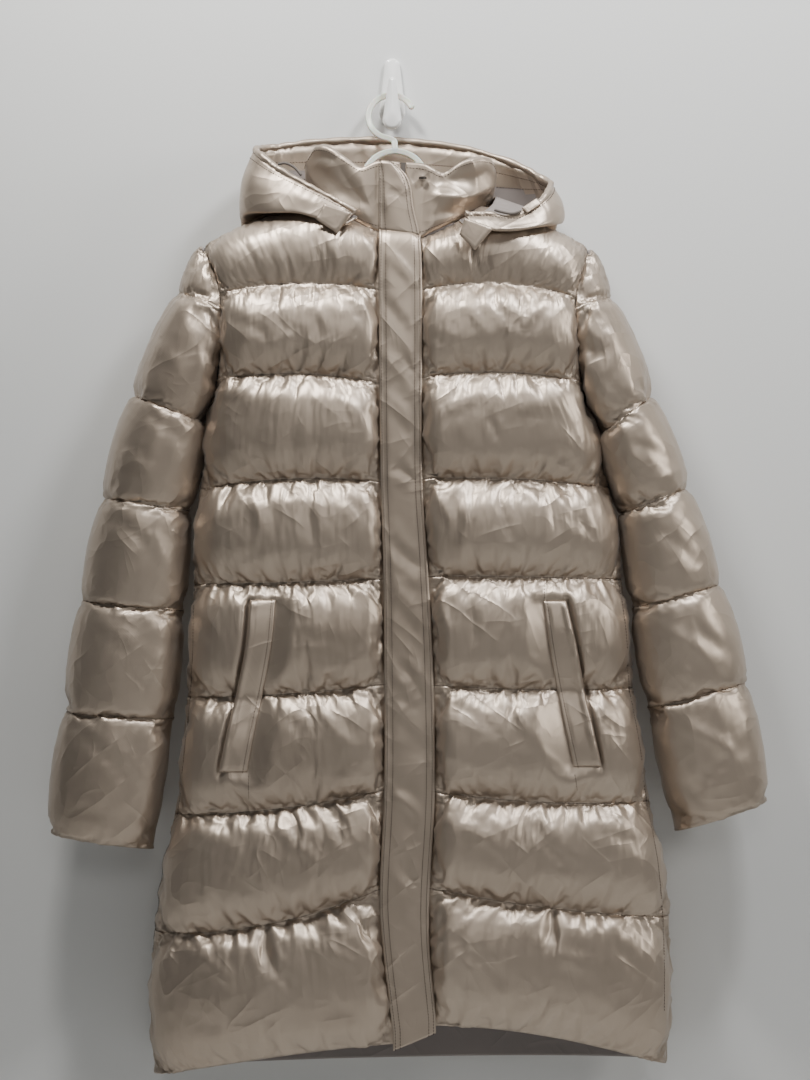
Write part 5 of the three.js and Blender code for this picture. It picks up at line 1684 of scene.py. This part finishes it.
class CoatSewing(bpy.types.PropertyGroup):
    """Size of the stitches."""

    pitch: bpy.props.FloatProperty(
        name="Pitch", description="Distance from one stitch to the next",
        default=0.0034, min=0.001, unit="LENGTH"
    )
    length: bpy.props.FloatProperty(
        name="Half length", description="Half the length of a stitch",
        default=0.0013, min=0.0004, unit="LENGTH"
    )
    thickness: bpy.props.FloatProperty(
        name="Half thickness", description="Half the thickness of a stitch",
        default=0.00048, min=0.0001, unit="LENGTH"
    )


class COAT_OT_stage(bpy.types.Operator):
    """Camera, wall, floor and lights"""

    bl_idname = "coat.stage"
    bl_label = "Stage"

    def execute(self, context):
        data = bpy.data.cameras.new("Camera")
        data.sensor_width = 36
        data.lens = 36 * CAMERA["distance"] / CAMERA["height_seen"]
        camera = bpy.data.objects.new("Camera", data)
        camera.location = (CAMERA["x"], SIDE_DEPTH * METRE - CAMERA["distance"], CAMERA["z"])
        camera.rotation_euler = (math.pi / 2, 0, 0)
        context.collection.objects.link(camera)
        context.scene.camera = camera
        finish = wall_material()
        wide, low, high, front = 4.0, -1.35, 2.4, -4.5
        corners = [(-wide, 0.001, low), (wide, 0.001, low), (wide, 0.001, high), (-wide, 0.001, high)]
        wall = plane("Wall", corners, finish)
        corners = [(-wide, 0.001, low), (-wide, front, low), (wide, front, low), (wide, 0.001, low)]
        floor = plane("Floor", corners, finish)
        wall.visible_shadow = False
        for name, place, target, size, energy, color in LIGHTS:
            area_light(name, place, target, size, energy, color)
        world = bpy.data.worlds.new("Room")
        world.use_nodes = True
        world.node_tree.nodes["Background"].inputs["Color"].default_value = (0.8, 0.85, 0.9, 1)
        world.node_tree.nodes["Background"].inputs["Strength"].default_value = 0.05
        context.scene.world = world
        return {"FINISHED"}


class COAT_OT_cords(bpy.types.Operator):
    """The two stretches of the hood's drawcord that show"""

    bl_idname = "coat.cords"
    bl_label = "Hood cords"

    def execute(self, context):
        for name, points in (("hood_cord_left", LEFT_CORD), ("hood_cord_right", RIGHT_CORD)):
            piece = round_tube(name, points, CORD_RADIUS, CORD_STEPS, 12, [trim_material("Cord")])
            finish_piece(piece, [name])
        return {"FINISHED"}


class COAT_OT_fronts(bpy.types.Operator):
    """The two quilted fronts and their pocket welts"""

    bl_idname = "coat.fronts"
    bl_label = "Fronts and pockets"

    def execute(self, context):
        for hand, side, creased, welt in (
            ("left", LEFT_SIDE, LEFT_CREASES, LEFT_WELT),
            ("right", RIGHT_SIDE, RIGHT_CREASES, RIGHT_WELT),
        ):
            name = f"front_{hand}"
            piece, outside, normals = build_front(name, side, creased, welt, shell_materials())
            finish_piece(piece, [name])
            SURFACES[name] = (outside, normals)
            name = f"pocket_welt_{hand}"
            piece, outer, normals = build_welt(name, side, welt, shell_materials()[:1])
            finish_piece(piece, [name])
            SURFACES[name] = (outer, normals)
        return {"FINISHED"}


class COAT_OT_back(bpy.types.Operator):
    """The quilted back"""

    bl_idname = "coat.back"
    bl_label = "Back"

    def execute(self, context):
        piece, outside, normals = build_back(BACK_CREASES, shell_materials())
        finish_piece(piece, ["back"])
        SURFACES["back"] = (outside, normals)
        return {"FINISHED"}


class COAT_OT_sleeves(bpy.types.Operator):
    """The two quilted sleeves"""

    bl_idname = "coat.sleeves"
    bl_label = "Sleeves"

    def execute(self, context):
        for name, table, edge, turn, creased in (
            ("sleeve_left", LEFT_SLEEVE, LEFT_EDGE, 1, LEFT_SLEEVE_CREASES),
            ("sleeve_right", RIGHT_SLEEVE, RIGHT_EDGE, -1, RIGHT_SLEEVE_CREASES),
        ):
            piece, outside, normals = build_sleeve(name, table, edge, turn, creased, shell_materials())
            finish_piece(piece, [name])
            SURFACES[name] = (outside, normals)
        return {"FINISHED"}


class COAT_OT_collar(bpy.types.Operator):
    """The stand collar"""

    bl_idname = "coat.collar"
    bl_label = "Collar"

    def execute(self, context):
        piece, outside, normals = build_collar(shell_materials()[:1])
        finish_piece(piece, ["collar"])
        SURFACES["collar"] = (outside, normals)
        return {"FINISHED"}


class COAT_OT_closure(bpy.types.Operator):
    """The wind flap, the zip's tape and the collar's snap"""

    bl_idname = "coat.closure"
    bl_label = "Flap, zip and snap"

    def execute(self, context):
        piece, outside, normals = build_flap(shell_materials()[:1])
        finish_piece(piece, ["flap"])
        SURFACES["flap"] = (outside, normals)
        zip_node = bpy.data.objects["zip"]
        zip_node.data.materials.clear()
        zip_node.data.materials.append(trim_material("Zip tape"))
        snap = bpy.data.objects["collar_snap"]
        snap.data.materials.clear()
        snap.data.materials.append(trim_material("Snap"))
        return {"FINISHED"}


class COAT_OT_hood(bpy.types.Operator):
    """The hood's three panels, its ruched edge, tabs and eyelet"""

    bl_idname = "coat.hood"
    bl_label = "Hood"

    def execute(self, context):
        for piece, outside, inside, normals in build_hood(shell_materials()):
            name = piece.name.split(".")[0]
            finish_piece(piece, [name])
            SURFACES[name] = (outside, normals)
            SURFACES[name + "_inside"] = (inside, -normals)
        piece, rings = build_casing(shell_materials()[:1])
        finish_piece(piece, ["hood_edge"])
        SURFACES["hood_edge"] = (rings, None)
        for name, corners, flat in (
            ("hood_tab_left", LEFT_TAB, (0.031, 0.028)),
            ("hood_tab_right", RIGHT_TAB, (0.031, 0.028)),
            ("hood_eyelet", EYELET, (0.021, 0.011)),
        ):
            piece, front = build_tab(name, corners, TAB_THICKNESS, shell_materials()[:1])
            finish_piece(piece, [name])
            SURFACES[name] = (front, None)
        return {"FINISHED"}


class COAT_OT_stitching(bpy.types.Operator):
    """All sewing that shows"""

    bl_idname = "coat.stitching"
    bl_label = "Stitching"

    def execute(self, context):
        sewing = context.scene.coat_sewing
        quilting = []
        for name, first, last in (
            ("front_left", 1, FRONT_COLUMNS),
            ("front_right", 1, FRONT_COLUMNS),
            ("back", 1, BACK_COLUMNS - 1),
            ("sleeve_left", 1, SLEEVE_COLUMNS - 1),
            ("sleeve_right", 1, SLEEVE_COLUMNS - 1),
        ):
            outside, normals = SURFACES[name]
            for r in range(BAFFLE_STEPS, len(outside) - 1, BAFFLE_STEPS):
                quilting.append(outside[r, first : last + 1] + normals[r, first : last + 1] * 0.25)
        piece = stitched(
            "quilting_thread", quilting, trim_material("Thread"), sewing.pitch, sewing.length, sewing.thickness
        )
        finish_piece(piece, [])
        trims = []
        for name, lines in COLUMN_STITCHES.items():
            outside, normals = SURFACES[name]
            trims += [outside[:, c] + normals[:, c] * 0.25 for c in lines]
        for name, lines in ROW_STITCHES.items():
            outside, normals = SURFACES[name]
            trims += [outside[r, 1:-1] + normals[r, 1:-1] * 0.25 for r in lines]
        for name, lines in TRACED_STITCHES.items():
            outside, normals = SURFACES[name]
            trims += [traced(outside, normals, line) for line in lines]
        piece = stitched(
            "trim_thread", trims, trim_material("Thread"), sewing.pitch, sewing.length, sewing.thickness
        )
        finish_piece(piece, [])
        return {"FINISHED"}


class COAT_OT_hanger(bpy.types.Operator):
    """The hanger that holds the coat"""

    bl_idname = "coat.hanger"
    bl_label = "Hanger"

    def execute(self, context):
        finish_piece(build_hanger([trim_material("Hanger")]), ["hanger"])
        return {"FINISHED"}


class COAT_OT_hook(bpy.types.Operator):
    """The wall hook"""

    bl_idname = "coat.hook"
    bl_label = "Wall hook"

    def execute(self, context):
        finish_piece(build_hook([trim_material("Hook")]), ["wall_hook"])
        return {"FINISHED"}


class COAT_PT_panel(bpy.types.Panel):
    """Buttons for each step, with the cloth's finish and the stitches' sizes"""

    bl_label = "Coat"
    bl_space_type = "VIEW_3D"
    bl_region_type = "UI"
    bl_category = "Coat"

    def draw(self, context):
        layout = self.layout
        for group in (context.scene.coat_cloth, context.scene.coat_sewing):
            for name in group.bl_rna.properties.keys():
                if name not in ("rna_type", "name"):
                    layout.prop(group, name)
        for step in STEPS:
            layout.operator(step.bl_idname)


STEPS = (
    COAT_OT_stage,
    COAT_OT_cords,
    COAT_OT_fronts,
    COAT_OT_back,
    COAT_OT_sleeves,
    COAT_OT_collar,
    COAT_OT_closure,
    COAT_OT_hood,
    COAT_OT_stitching,
    COAT_OT_hanger,
    COAT_OT_hook,
)
GROUPS = (CoatCloth, CoatSewing)


def register():
    for kind in (*GROUPS, *STEPS, COAT_PT_panel):
        bpy.utils.register_class(kind)
    bpy.types.Scene.coat_cloth = bpy.props.PointerProperty(type=CoatCloth)
    bpy.types.Scene.coat_sewing = bpy.props.PointerProperty(type=CoatSewing)


def unregister():
    del bpy.types.Scene.coat_sewing
    del bpy.types.Scene.coat_cloth
    for kind in reversed((*GROUPS, *STEPS, COAT_PT_panel)):
        bpy.utils.unregister_class(kind)


def main():
    register()
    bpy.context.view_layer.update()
    for step in STEPS:
        family, name = step.bl_idname.split(".")
        getattr(getattr(bpy.ops, family), name)()


if __name__ == "__main__":
    main()
